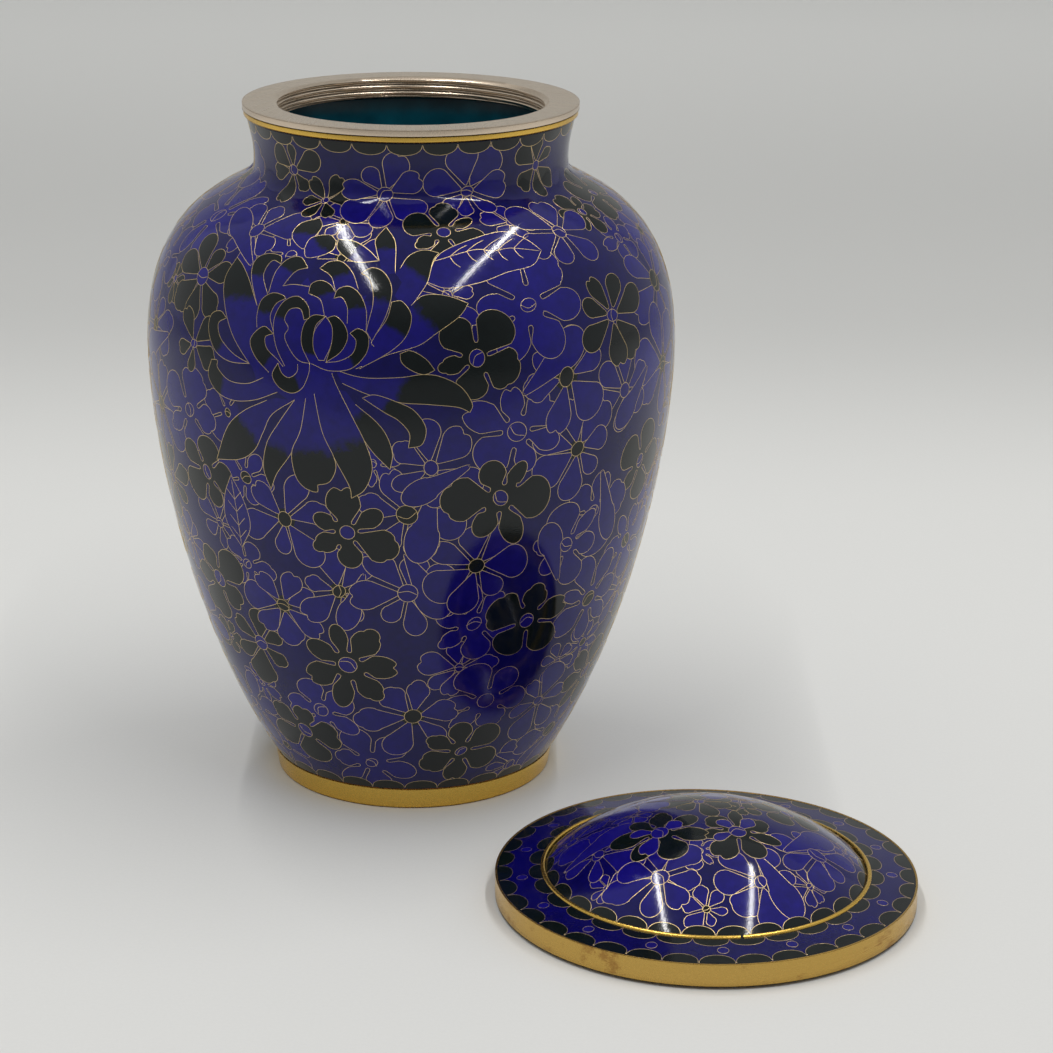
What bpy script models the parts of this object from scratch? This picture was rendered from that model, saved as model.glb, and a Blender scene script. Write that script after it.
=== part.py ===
"""Cloisonne vase with a screw lid, the lid lying beside it on the table.

The vase is a spun copper body with enamel outside and inside, a gilt foot ring
and mouth band, and a threaded collar let into its mouth.  The lid is a pressed
copper dome and flange with enamel, a gilt rim, a bead wire and a thread ring.
Run it with: blender --background --python part.py
"""

import math

import bpy

# ---------------------------------------------------------------- sizes (metres)

VASE_HEIGHT = 0.2165          # table to the collar's top face
BELLY_RADIUS = 0.0825         # widest ring of the vase
NECK_LENGTH = 0.0190          # collar's top face down to the neck's waist
SHOULDER_DROP = 0.0565        # neck's waist down to the widest ring
LIP_FLARE = 0.0033            # how far the collar's flange reaches past the waist

FOOT_RADIUS = 0.0441          # foot ring, where it stands
FOOT_FLARE = 0.0011           # how much wider the foot ring is at its top
FOOT_HEIGHT = 0.0068
FOOT_WALL = 0.0036

COPPER = 0.0013               # copper sheet
ENAMEL = 0.0010               # fired enamel outside
LINING = 0.0006               # fired enamel inside
GAP = 0.0003                  # air left between pieces that touch

COLLAR_BORE = 0.0410          # radius over the female thread's crests
COLLAR_FLANGE = 0.0018        # thickness of the collar's flange
COLLAR_DEPTH = 0.0066         # collar's top face down to its lower edge
COLLAR_WALL = 0.0026          # from the thread's root to the barrel's outside
COLLAR_FIT = 0.0012           # between the barrel and the copper
BAND_HEIGHT = 0.0018          # gilt mouth band
BAND_STEP = 0.0004            # flange overhang past the mouth band
SKIN_STEP = 0.0008            # mouth band overhang past the enamel

THREAD_PITCH = 0.0020
THREAD_DEPTH = 0.0010
THREAD_CLEARANCE = 0.00035    # radial, between the male and female threads

LID_OVERHANG = 0.0103         # lid's rim past the collar's flange
FLANGE_WIDTH = 0.0135         # lid's rim in to the bead wire
DOME_RISE = 0.0190            # dome above the flange
RIM_HEIGHT = 0.0068
RIM_WALL = 0.0018
RIM_LIFT = 0.0010             # rim above the table, on the thread ring
BEAD_RADIUS = 0.0007          # half the bead wire's thickness
BEAD_SPLIT = 0.0008           # open joint in the bead wire
BEAD_SPLIT_BEARING = math.radians(-78.0)
SPIGOT_WALL = 0.0022          # from the male thread's root to the ring's bore
SPIGOT_FLANGE = 0.0010        # thickness of the thread ring's flange
SPIGOT_LAND = 0.0025          # thread ring's flange out past the bead wire

LID_TUCK = 0.0046             # lid's rim in under the widest ring, seen from above
LID_BEARING = math.radians(-50.0)
CHAMFER = 0.0004

STEPS = 40                    # facets round a turned piece
BODY_ROWS = 7                 # rows in each long stretch of the body's curve
NECK_ROWS = 3                 # rows from the waist up to the mouth band
DOME_ROWS = 7

# ---------------------------------------------------------------- worked-out sizes

THREAD_ROOT = COLLAR_BORE + THREAD_DEPTH
BARREL_RADIUS = THREAD_ROOT + COLLAR_WALL
COPPER_BACK = GAP + ENAMEL                   # enamel's face in to the copper's outside
LINING_FACE = COPPER_BACK + COPPER + GAP     # enamel's face in to the lining's outside
WAIST_RADIUS = BARREL_RADIUS + COLLAR_FIT + COPPER + COPPER_BACK
COLLAR_RADIUS = WAIST_RADIUS + LIP_FLARE
BAND_RADIUS = COLLAR_RADIUS - BAND_STEP
MOUTH_RADIUS = BAND_RADIUS - SKIN_STEP       # enamel's face under the mouth band

FLANGE_UNDER = VASE_HEIGHT - COLLAR_FLANGE
BAND_TOP = FLANGE_UNDER - GAP
BAND_BOTTOM = BAND_TOP - BAND_HEIGHT
SKIN_TOP = BAND_BOTTOM - GAP
WAIST_HEIGHT = VASE_HEIGHT - NECK_LENGTH
BELLY_HEIGHT = WAIST_HEIGHT - SHOULDER_DROP
COLLAR_BOTTOM = VASE_HEIGHT - COLLAR_DEPTH
SKIN_BOTTOM = FOOT_HEIGHT + GAP
FLOOR_TOP = SKIN_BOTTOM + COPPER

LID_RADIUS = COLLAR_RADIUS + LID_OVERHANG
BEAD_CIRCLE = LID_RADIUS - FLANGE_WIDTH
LID_TOP = RIM_LIFT + RIM_HEIGHT              # flange's upper face
LID_COPPER_TOP = LID_TOP - ENAMEL - GAP
LID_COPPER_UNDER = LID_COPPER_TOP - COPPER
SPIGOT_TOP = LID_COPPER_UNDER - GAP
SPIGOT_SEAT = SPIGOT_TOP - SPIGOT_FLANGE
SPIGOT_CREST = THREAD_ROOT - THREAD_CLEARANCE
SPIGOT_ROOT = SPIGOT_CREST - THREAD_DEPTH
SPIGOT_BORE = SPIGOT_ROOT - SPIGOT_WALL
BEAD_ROOM = BEAD_RADIUS + GAP                # bead's centre to the enamel on each side
DOME_BASE = BEAD_CIRCLE - BEAD_ROOM
DOME_SPHERE = (DOME_BASE ** 2 + DOME_RISE ** 2) / (2 * DOME_RISE)

# The origin is at table height, in the middle of the box round vase and lid.
LID_REACH = BELLY_RADIUS + LID_RADIUS - LID_TUCK
LID_OFFSET = (LID_REACH * math.cos(LID_BEARING), LID_REACH * math.sin(LID_BEARING))


def middle(offset):
    """Half way across the vase's circle and the lid's, along one axis."""
    low = min(-BELLY_RADIUS, offset - LID_RADIUS)
    high = max(BELLY_RADIUS, offset + LID_RADIUS)
    return (low + high) / 2


VASE_AXIS = (-middle(LID_OFFSET[0]), -middle(LID_OFFSET[1]))
LID_AXIS = (VASE_AXIS[0] + LID_OFFSET[0], VASE_AXIS[1] + LID_OFFSET[1])

# ---------------------------------------------------------------- outlines (radius, height)

FOOT_SLOPE = 0.62             # radius gained per height where the body leaves the foot
FOOT_HANDLE = 0.33            # shares of each stretch's height taken by its handles
BELLY_HANDLE_LOW = 0.20
BELLY_HANDLE_HIGH = 0.90
WAIST_HANDLE_LOW = 0.14
WAIST_HANDLE_HIGH = 0.50
MOUTH_SLOPE = 0.25            # radius gained per height at the mouth
MOUTH_HANDLE = 0.30


def bezier(start, start_handle, end_handle, end, rows):
    """Points along one cubic stretch, its end left for the next stretch."""
    points = []
    for row in range(rows):
        t = row / rows
        s = 1 - t
        weights = (s ** 3, 3 * s * s * t, 3 * s * t * t, t ** 3)
        knots = (start, start_handle, end_handle, end)
        points.append(tuple(sum(w * k[axis] for w, k in zip(weights, knots)) for axis in (0, 1)))
    return points


def body_outline():
    """The enamel's face from the foot ring up to the mouth band."""
    foot = (FOOT_RADIUS + FOOT_FLARE, SKIN_BOTTOM)
    belly = (BELLY_RADIUS, BELLY_HEIGHT)
    waist = (WAIST_RADIUS, WAIST_HEIGHT)
    mouth = (MOUTH_RADIUS, SKIN_TOP)
    lower = BELLY_HEIGHT - SKIN_BOTTOM
    upper = SKIN_TOP - WAIST_HEIGHT
    points = bezier(
        foot,
        (foot[0] + FOOT_SLOPE * FOOT_HANDLE * lower, foot[1] + FOOT_HANDLE * lower),
        (BELLY_RADIUS, BELLY_HEIGHT - BELLY_HANDLE_LOW * lower),
        belly, BODY_ROWS)
    points += bezier(
        belly,
        (BELLY_RADIUS, BELLY_HEIGHT + BELLY_HANDLE_HIGH * SHOULDER_DROP),
        (WAIST_RADIUS, WAIST_HEIGHT - WAIST_HANDLE_LOW * SHOULDER_DROP),
        waist, BODY_ROWS)
    points += bezier(
        waist,
        (WAIST_RADIUS, WAIST_HEIGHT + WAIST_HANDLE_HIGH * upper),
        (MOUTH_RADIUS - MOUTH_SLOPE * MOUTH_HANDLE * upper, SKIN_TOP - MOUTH_HANDLE * upper),
        mouth, NECK_ROWS)
    return points + [mouth]


def inset(outline, distance):
    """The outline moved inwards by a distance, square to itself."""
    moved = []
    last = len(outline) - 1
    for index, (radius, height) in enumerate(outline):
        before = outline[max(index - 1, 0)]
        after = outline[min(index + 1, last)]
        run = (after[0] - before[0], after[1] - before[1])
        length = math.hypot(*run)
        moved.append((radius - distance * run[1] / length, height + distance * run[0] / length))
    return moved


def radius_at(outline, height):
    """Radius of a rising outline at a height."""
    for (r0, z0), (r1, z1) in zip(outline, outline[1:]):
        if z0 <= height <= z1:
            return r0 + (r1 - r0) * (height - z0) / (z1 - z0)
    return outline[-1][0] if height > outline[-1][1] else outline[0][0]


def between(outline, low, high):
    """The stretch of a rising outline between two heights, cut level at both."""
    inner = [point for point in outline if low + GAP < point[1] < high - GAP]
    return [(radius_at(outline, low), low)] + inner + [(radius_at(outline, high), high)]


def dome_outline(depth, edge_height=None):
    """A dome's line from its top outwards, at a depth under the enamel's face."""
    sphere = DOME_SPHERE - depth
    centre = LID_TOP + DOME_RISE - DOME_SPHERE
    low = LID_TOP if edge_height is None else edge_height
    end = math.acos((low - centre) / sphere)
    angles = [end * row / DOME_ROWS for row in range(DOME_ROWS + 1)]
    return [(sphere * math.sin(a), centre + sphere * math.cos(a)) for a in angles]


# ---------------------------------------------------------------- making pieces

def clear_scene():
    """Remove whatever the file opened with."""
    for thing in list(bpy.data.objects):
        bpy.data.objects.remove(thing, do_unlink=True)


def finish(name, colour, metallic, roughness):
    """One plain material."""
    material = bpy.data.materials.new(name)
    material.use_nodes = True
    shader = material.node_tree.nodes["Principled BSDF"]
    shader.inputs["Base Color"].default_value = (*colour, 1.0)
    shader.inputs["Metallic"].default_value = metallic
    shader.inputs["Roughness"].default_value = roughness
    return material


def smooth(mesh):
    """Shade a turned piece smooth, with its corners kept."""
    mesh.shade_smooth()
    mesh.set_sharp_from_angle(angle=math.radians(40))


def turned(name, profile, parent, material, closed=True):
    """A piece turned from a profile that runs down its outside.

    A closed profile makes a ring; an open one starts and ends on the axis.
    """
    mesh = bpy.data.meshes.new(name)
    count = len(profile)
    edges = [(i, (i + 1) % count) for i in range(count if closed else count - 1)]
    mesh.from_pydata([(radius, 0.0, height) for radius, height in profile], edges, [])
    mesh.materials.append(material)
    piece = bpy.data.objects.new(name, mesh)
    PARTS.objects.link(piece)
    piece.parent = parent
    screw = piece.modifiers.new("turn", "SCREW")
    screw.steps = STEPS
    screw.render_steps = STEPS
    screw.use_merge_vertices = True
    screw.merge_threshold = 0.00001
    screw.use_smooth_shade = True
    return piece


def settled(piece):
    """Replace a piece's modifiers by the mesh that they make."""
    graph = bpy.context.evaluated_depsgraph_get()
    mesh = bpy.data.meshes.new_from_object(piece.evaluated_get(graph))
    piece.modifiers.clear()
    piece.data = mesh
    smooth(mesh)
    return piece


def cut_thread(piece, face, depth, low, high):
    """Push a turned wall in and out along a helix, fading out at both ends.

    face is the wall's radius and depth the signed step from its face to the
    other side of the thread.
    """
    for vertex in piece.data.vertices:
        radius = math.hypot(vertex.co.x, vertex.co.y)
        if abs(radius - face) > CHAMFER / 4:
            continue
        turn = math.atan2(vertex.co.y, vertex.co.x) / math.tau
        wave = 0.5 - 0.5 * math.cos(math.tau * (vertex.co.z / THREAD_PITCH - turn))
        fade = min(vertex.co.z - low, high - vertex.co.z) / (THREAD_PITCH / 2)
        scale = 1 + depth * wave * max(0.0, min(1.0, fade)) / radius
        vertex.co.x *= scale
        vertex.co.y *= scale


def thread_rows(radius, start, end):
    """Points along a straight wall, four to a turn of the thread."""
    rows = max(2, round(abs(end - start) / (THREAD_PITCH / 4)))
    return [(radius, start + (end - start) * row / rows) for row in range(rows + 1)]


def holder(name, place):
    """An empty on a piece's axis, at table height."""
    empty = bpy.data.objects.new(name, None)
    empty.location = (*place, 0.0)
    PARTS.objects.link(empty)
    return empty


# ---------------------------------------------------------------- the vase

def build_vase(parent, looks):
    """Everything that stays with the vase."""
    face = body_outline()
    rim = BAND_TOP
    copper_out = inset(face, COPPER_BACK)
    copper_out[0] = (copper_out[0][0], SKIN_BOTTOM)
    copper_out[-1] = (copper_out[-1][0], SKIN_TOP)
    copper_in = inset(copper_out, COPPER)
    neck = between(copper_out, SKIN_BOTTOM, SKIN_TOP) + [(copper_out[-1][0], rim)]
    inner_wall = between(copper_in, FLOOR_TOP, SKIN_TOP) + [(copper_in[-1][0], rim)]
    turned(
        "copper_body",
        [(0.0, FLOOR_TOP)] + inner_wall + neck[::-1] + [(0.0, SKIN_BOTTOM)],
        parent, looks["copper"], closed=False)

    skin_back = between(inset(face, ENAMEL), SKIN_BOTTOM, SKIN_TOP)
    turned("cloisonne_skin", face[::-1] + skin_back, parent, looks["blue"])

    lining_floor = FLOOR_TOP + GAP
    lining_top = COLLAR_BOTTOM - GAP
    outside = between(inset(face, LINING_FACE), lining_floor, lining_top)
    inside = between(inset(face, LINING_FACE + LINING), lining_floor + LINING, lining_top)
    turned(
        "turquoise_lining",
        [(0.0, lining_floor + LINING)] + inside + outside[::-1] + [(0.0, lining_floor)],
        parent, looks["turquoise"], closed=False)

    foot_top = FOOT_RADIUS + FOOT_FLARE
    foot_bore = FOOT_RADIUS - FOOT_WALL
    turned(
        "foot_ring",
        [(foot_top, FOOT_HEIGHT), (FOOT_RADIUS, CHAMFER), (FOOT_RADIUS - CHAMFER, 0.0),
         (foot_bore, 0.0), (foot_bore, FOOT_HEIGHT)],
        parent, looks["gilt"])
    base_radius = foot_bore - GAP
    turned(
        "base_enamel",
        [(0.0, FOOT_HEIGHT), (base_radius, FOOT_HEIGHT), (base_radius, FOOT_HEIGHT - LINING),
         (0.0, FOOT_HEIGHT - LINING)],
        parent, looks["turquoise"], closed=False)

    band_bore = copper_out[-1][0] + GAP
    turned(
        "mouth_band",
        [(BAND_RADIUS, BAND_TOP), (BAND_RADIUS, BAND_BOTTOM + CHAMFER),
         (BAND_RADIUS - CHAMFER, BAND_BOTTOM), (band_bore, BAND_BOTTOM), (band_bore, BAND_TOP)],
        parent, looks["gilt"])
    build_collar(parent, looks)


def build_collar(parent, looks):
    """The flanged collar with the female thread in its bore."""
    low = COLLAR_BOTTOM + CHAMFER
    high = VASE_HEIGHT - CHAMFER
    outside = [
        (COLLAR_RADIUS - CHAMFER, VASE_HEIGHT), (COLLAR_RADIUS, high),
        (COLLAR_RADIUS, FLANGE_UNDER), (BARREL_RADIUS, FLANGE_UNDER),
        (BARREL_RADIUS, COLLAR_BOTTOM), (COLLAR_BORE + CHAMFER, COLLAR_BOTTOM)]
    bore = thread_rows(COLLAR_BORE, low, high)
    collar = turned(
        "threaded_collar", outside + bore + [(COLLAR_BORE + CHAMFER, VASE_HEIGHT)],
        parent, looks["silver"])
    cut_thread(settled(collar), COLLAR_BORE, THREAD_DEPTH, low, high)


# ---------------------------------------------------------------- the lid

def build_lid(parent, looks):
    """Everything that lifts off with the lid."""
    rim_bore = LID_RADIUS - RIM_WALL
    plate_edge = rim_bore - GAP
    turned(
        "lid_rim_band",
        [(LID_RADIUS - CHAMFER, LID_TOP), (LID_RADIUS, LID_TOP - CHAMFER),
         (LID_RADIUS, RIM_LIFT + CHAMFER), (LID_RADIUS - CHAMFER, RIM_LIFT),
         (rim_bore, RIM_LIFT), (rim_bore, LID_TOP)],
        parent, looks["gilt"])

    flange_bore = BEAD_CIRCLE + BEAD_ROOM
    flange_back = LID_TOP - ENAMEL
    turned(
        "lid_flange_enamel",
        [(plate_edge, LID_TOP), (plate_edge, flange_back), (flange_bore, flange_back),
         (flange_bore, LID_TOP)],
        parent, looks["blue"])

    dome_face = dome_outline(0.0)
    dome_back = dome_outline(ENAMEL, LID_TOP - ENAMEL)
    turned("lid_dome_enamel", dome_face + dome_back[::-1], parent, looks["blue"], closed=False)

    copper_face = dome_outline(COPPER_BACK, LID_COPPER_TOP)
    copper_back = dome_outline(COPPER_BACK + COPPER, LID_COPPER_UNDER)
    turned(
        "lid_copper",
        copper_face + [(plate_edge, LID_COPPER_TOP), (plate_edge, LID_COPPER_UNDER)] + copper_back[::-1],
        parent, looks["copper"], closed=False)

    lining_edge = SPIGOT_TOP + GAP
    lining_face = dome_outline(LINING_FACE, lining_edge + LINING)
    lining_back = dome_outline(LINING_FACE + LINING, lining_edge + LINING)
    turned("lid_lining", lining_face + lining_back[::-1], parent, looks["turquoise"], closed=False)

    bead_ring(parent, looks["gilt"])
    thread_ring(parent, looks["silver"])


def bead_ring(parent, material):
    """The round wire between dome and flange, open by a hair at the front."""
    curve = bpy.data.curves.new("lid_bead_ring", "CURVE")
    curve.dimensions = "3D"
    curve.bevel_depth = BEAD_RADIUS
    curve.bevel_resolution = 1
    curve.use_fill_caps = True
    curve.materials.append(material)
    spline = curve.splines.new("POLY")
    points = STEPS + 1
    spline.points.add(points - 1)
    half_split = BEAD_SPLIT / BEAD_CIRCLE / 2
    for index, point in enumerate(spline.points):
        angle = BEAD_SPLIT_BEARING + half_split + (math.tau - 2 * half_split) * index / (points - 1)
        height = LID_COPPER_TOP + GAP + BEAD_RADIUS
        point.co = (BEAD_CIRCLE * math.cos(angle), BEAD_CIRCLE * math.sin(angle), height, 1.0)
    ring = bpy.data.objects.new("lid_bead_ring", curve)
    PARTS.objects.link(ring)
    ring.parent = parent


def thread_ring(parent, material):
    """The ring with the male thread, its flange soldered under the lid's plate."""
    low = CHAMFER
    high = SPIGOT_SEAT - CHAMFER
    flange = BEAD_CIRCLE + SPIGOT_LAND
    outside = [(flange, SPIGOT_TOP), (flange, SPIGOT_SEAT), (SPIGOT_CREST - CHAMFER, SPIGOT_SEAT)]
    wall = thread_rows(SPIGOT_CREST, high, low)
    inside = [(SPIGOT_CREST - CHAMFER, 0.0), (SPIGOT_BORE, 0.0), (SPIGOT_BORE, SPIGOT_TOP)]
    ring = turned("lid_thread_ring", outside + wall + inside, parent, material)
    cut_thread(settled(ring), SPIGOT_CREST, -THREAD_DEPTH, low, high)


def main():
    """Build the vase and its lid."""
    looks = {
        "copper": finish("copper", (0.60, 0.30, 0.16), 1.0, 0.40),
        "blue": finish("blue_enamel", (0.03, 0.02, 0.25), 0.0, 0.12),
        "turquoise": finish("turquoise_enamel", (0.01, 0.10, 0.14), 0.0, 0.20),
        "gilt": finish("gilt", (0.72, 0.46, 0.10), 1.0, 0.35),
        "silver": finish("silver_plate", (0.62, 0.56, 0.50), 1.0, 0.28),
    }
    build_vase(holder("vase_axis", VASE_AXIS), looks)
    build_lid(holder("lid_axis", LID_AXIS), looks)


clear_scene()
PARTS = bpy.data.collections.new("cloisonne_vase")
bpy.context.scene.collection.children.link(PARTS)
main()
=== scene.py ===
"""Looks of the cloisonne vase and of its screw lid, lying beside it on the table.

The frame gives every size and place.  The enamel is drawn cell by cell: each
cell has an outline, the outlines are laid over one another from the top down,
and both the enamel's cells and the thin wires between them are made from what
stays in sight.
"""

import logging
import math
import random
from dataclasses import dataclass, field
from enum import Enum

import bpy
import numpy as np
from mathutils import Matrix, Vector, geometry

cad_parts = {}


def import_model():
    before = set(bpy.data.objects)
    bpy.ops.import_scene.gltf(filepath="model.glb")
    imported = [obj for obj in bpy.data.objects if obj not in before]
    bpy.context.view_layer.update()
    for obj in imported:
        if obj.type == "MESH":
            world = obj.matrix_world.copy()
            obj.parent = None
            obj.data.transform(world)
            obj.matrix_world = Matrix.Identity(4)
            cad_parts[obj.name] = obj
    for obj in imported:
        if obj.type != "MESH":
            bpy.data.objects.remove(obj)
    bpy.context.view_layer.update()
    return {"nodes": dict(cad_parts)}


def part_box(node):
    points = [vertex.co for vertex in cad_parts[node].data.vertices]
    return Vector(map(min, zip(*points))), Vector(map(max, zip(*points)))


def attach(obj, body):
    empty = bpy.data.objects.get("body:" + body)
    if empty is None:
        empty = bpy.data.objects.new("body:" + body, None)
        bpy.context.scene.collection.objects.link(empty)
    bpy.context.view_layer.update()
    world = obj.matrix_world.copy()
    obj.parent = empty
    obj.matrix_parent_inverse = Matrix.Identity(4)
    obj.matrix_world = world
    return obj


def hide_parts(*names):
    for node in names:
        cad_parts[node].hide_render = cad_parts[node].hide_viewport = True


MM = 0.001
ON_AXIS = 1e-5             # a radius this small is on the axis
LINE_STEP = 0.5 * MM       # between the points of a flower's outline
RIB_STEP = 0.6 * MM        # between the points of a leaf's rib or vein
CORNER_EASE = 0.0002       # how far a turned piece's corners are rounded back
LONG_STEP = 1.5 * MM       # between the points of a turned piece's outline
SHARP_BEND = math.radians(24)
log = logging.getLogger("cloisonne_vase")

Pair = tuple[float, float]
Colour = tuple[float, float, float]
Socket = bpy.types.NodeSocket
Tree = bpy.types.NodeTree
Material = bpy.types.Material
Piece = bpy.types.Object
Points = np.ndarray
Run = tuple[Points, bool]        # a wire's plan points, and whether it is a ring


# -------------------- shader helpers


def node_group(name: str, inputs: dict[str, float]) -> tuple[Tree, bpy.types.Node, Socket]:
    """Start a shader node group that puts out one value.

    Args:
        name: the group's name.
        inputs: each input's name and usual value.

    Returns:
        The group's tree, its input node and its output socket, "Value".
    """
    tree = bpy.data.node_groups.new(name, "ShaderNodeTree")
    for label, value in inputs.items():
        socket = tree.interface.new_socket(label, in_out="INPUT", socket_type="NodeSocketFloat")
        socket.default_value = value
    tree.interface.new_socket("Value", in_out="OUTPUT", socket_type="NodeSocketFloat")
    given = tree.nodes.new("NodeGroupInput")
    return tree, given, tree.nodes.new("NodeGroupOutput").inputs["Value"]


def noise(tree: Tree, vector: Socket, scale: float, detail: float) -> bpy.types.Node:
    """Add a noise texture.

    Args:
        tree: the tree it goes in.
        vector: the place that feeds it.
        scale: how fine it is.
        detail: how many finer layers it has.

    Returns:
        The texture node.
    """
    node = tree.nodes.new("ShaderNodeTexNoise")
    node.inputs["Scale"].default_value = scale
    node.inputs["Detail"].default_value = detail
    tree.links.new(vector, node.inputs["Vector"])
    return node


def calc(tree: Tree, operation: str, *values: float | Socket) -> Socket:
    """Add a math node.

    Args:
        tree: the tree it goes in.
        operation: Blender's name for what it does.
        values: what it works on.

    Returns:
        Its result.
    """
    node = tree.nodes.new("ShaderNodeMath")
    node.operation = operation
    for slot, value in zip(node.inputs, values):
        if isinstance(value, (int, float)):
            slot.default_value = value
        else:
            tree.links.new(value, slot)
    return node.outputs[0]


def spread(tree: Tree, value: Socket, low: float, high: float,
           to_low: float = 0.0, to_high: float = 1.0) -> Socket:
    """Stretch a value's range to another one, with soft ends.

    Args:
        tree: the tree it goes in.
        value: what is stretched.
        low: where the given range starts.
        high: where the given range ends.
        to_low: where the new range starts.
        to_high: where the new range ends.

    Returns:
        The new value.
    """
    node = tree.nodes.new("ShaderNodeMapRange")
    node.interpolation_type = "SMOOTHSTEP"
    node.inputs["From Min"].default_value = low
    node.inputs["From Max"].default_value = high
    node.inputs["To Min"].default_value = to_low
    node.inputs["To Max"].default_value = to_high
    tree.links.new(value, node.inputs["Value"])
    return node.outputs["Result"]


def blend_colours(tree: Tree, share: Socket, first: Colour | Socket, second: Colour | Socket) -> Socket:
    """Mix two colours.

    Args:
        tree: the tree it goes in.
        share: how much of the second colour there is.
        first: the colour where the share is 0.
        second: the colour where the share is 1.

    Returns:
        The mixed colour.
    """
    node = tree.nodes.new("ShaderNodeMix")
    node.data_type = "RGBA"
    tree.links.new(share, node.inputs["Factor"])
    for slot, value in ((node.inputs[6], first), (node.inputs[7], second)):
        if isinstance(value, tuple):
            slot.default_value = (*value, 1.0)
        else:
            tree.links.new(value, slot)
    return node.outputs[2]


def place_group(tree: Tree, group: Tree, **values: float) -> Socket:
    """Put a node group in a material.

    Args:
        tree: the material's tree.
        group: the node group.
        values: the group's inputs and their values here.

    Returns:
        The group's value.
    """
    node = tree.nodes.new("ShaderNodeGroup")
    node.node_tree = group
    for label, value in values.items():
        node.inputs[label].default_value = value
    return node.outputs["Value"]


def new_material(name: str) -> tuple:
    """An empty material with its principled shader.

    Returns:
        The material, its tree and its shader node.
    """
    material = bpy.data.materials.new(name)
    material.use_nodes = True
    tree = material.node_tree
    return material, tree, tree.nodes["Principled BSDF"]


def own_place(tree: Tree) -> Socket:
    """A piece's own coordinates, which move with it."""
    return tree.nodes.new("ShaderNodeTexCoord").outputs["Object"]


def add_bump(tree: Tree, shader: bpy.types.Node, height: Socket, strength: float, distance: float) -> None:
    """Feed a height to a shader's normal.

    Args:
        tree: the material's tree.
        shader: the principled shader.
        height: the height over the surface.
        strength: how much of it shows.
        distance: how deep a height of 1 is, in metres.
    """
    node = tree.nodes.new("ShaderNodeBump")
    node.inputs["Strength"].default_value = strength
    node.inputs["Distance"].default_value = distance
    tree.links.new(height, node.inputs["Height"])
    tree.links.new(node.outputs["Normal"], shader.inputs["Normal"])


class Effects:
    """The effects that more than one finish uses, each made once."""

    def __init__(self) -> None:
        """Make all the effects."""
        self.clouds = self._clouds()
        self.turning = self._turning()
        self.pits = self._pits()

    @staticmethod
    def _clouds() -> Tree:
        """Soft uneven tone, coarse and fine together."""
        tree, given, result = node_group("clouds", {"Scale": 200.0, "Amount": 0.5})
        place = own_place(tree)
        coarse = noise(tree, place, 60.0, 3.0)
        fine = noise(tree, place, 200.0, 4.0)
        tree.links.new(given.outputs["Scale"], fine.inputs["Scale"])
        both = calc(tree, "ADD", coarse.outputs["Fac"], fine.outputs["Fac"])
        centred = calc(tree, "SUBTRACT", both, 1.0)
        scaled = calc(tree, "MULTIPLY", centred, given.outputs["Amount"])
        tree.links.new(scaled, result)
        return tree

    @staticmethod
    def _turning() -> Tree:
        """Fine lines round a piece's own axis, as a lathe or a brush leaves them."""
        tree, given, result = node_group("turning_lines", {"Fineness": 3000.0, "Length": 3.0})
        parts = tree.nodes.new("ShaderNodeSeparateXYZ")
        tree.links.new(own_place(tree), parts.inputs[0])
        x, y, z = parts.outputs
        squares = calc(tree, "ADD", calc(tree, "MULTIPLY", x, x), calc(tree, "MULTIPLY", y, y))
        radius = calc(tree, "SQRT", squares)
        angle = calc(tree, "ARCTAN2", y, x)
        join = tree.nodes.new("ShaderNodeCombineXYZ")
        tree.links.new(calc(tree, "MULTIPLY", radius, given.outputs["Fineness"]), join.inputs[0])
        tree.links.new(calc(tree, "MULTIPLY", z, given.outputs["Fineness"]), join.inputs[1])
        tree.links.new(calc(tree, "MULTIPLY", angle, given.outputs["Length"]), join.inputs[2])
        lines = noise(tree, join.outputs[0], 1.0, 3.0)
        tree.links.new(lines.outputs["Fac"], result)
        return tree

    @staticmethod
    def _pits() -> Tree:
        """Scattered pinholes, 1 at the bottom of each."""
        tree, given, result = node_group("pits", {"Scale": 500.0, "Size": 0.12})
        cells = tree.nodes.new("ShaderNodeTexVoronoi")
        tree.links.new(own_place(tree), cells.inputs["Vector"])
        tree.links.new(given.outputs["Scale"], cells.inputs["Scale"])
        near = calc(tree, "DIVIDE", cells.outputs["Distance"], given.outputs["Size"])
        hole = calc(tree, "MAXIMUM", calc(tree, "SUBTRACT", 1.0, near), 0.0)
        tree.links.new(hole, result)
        return tree


# -------------------- finishes


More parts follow.
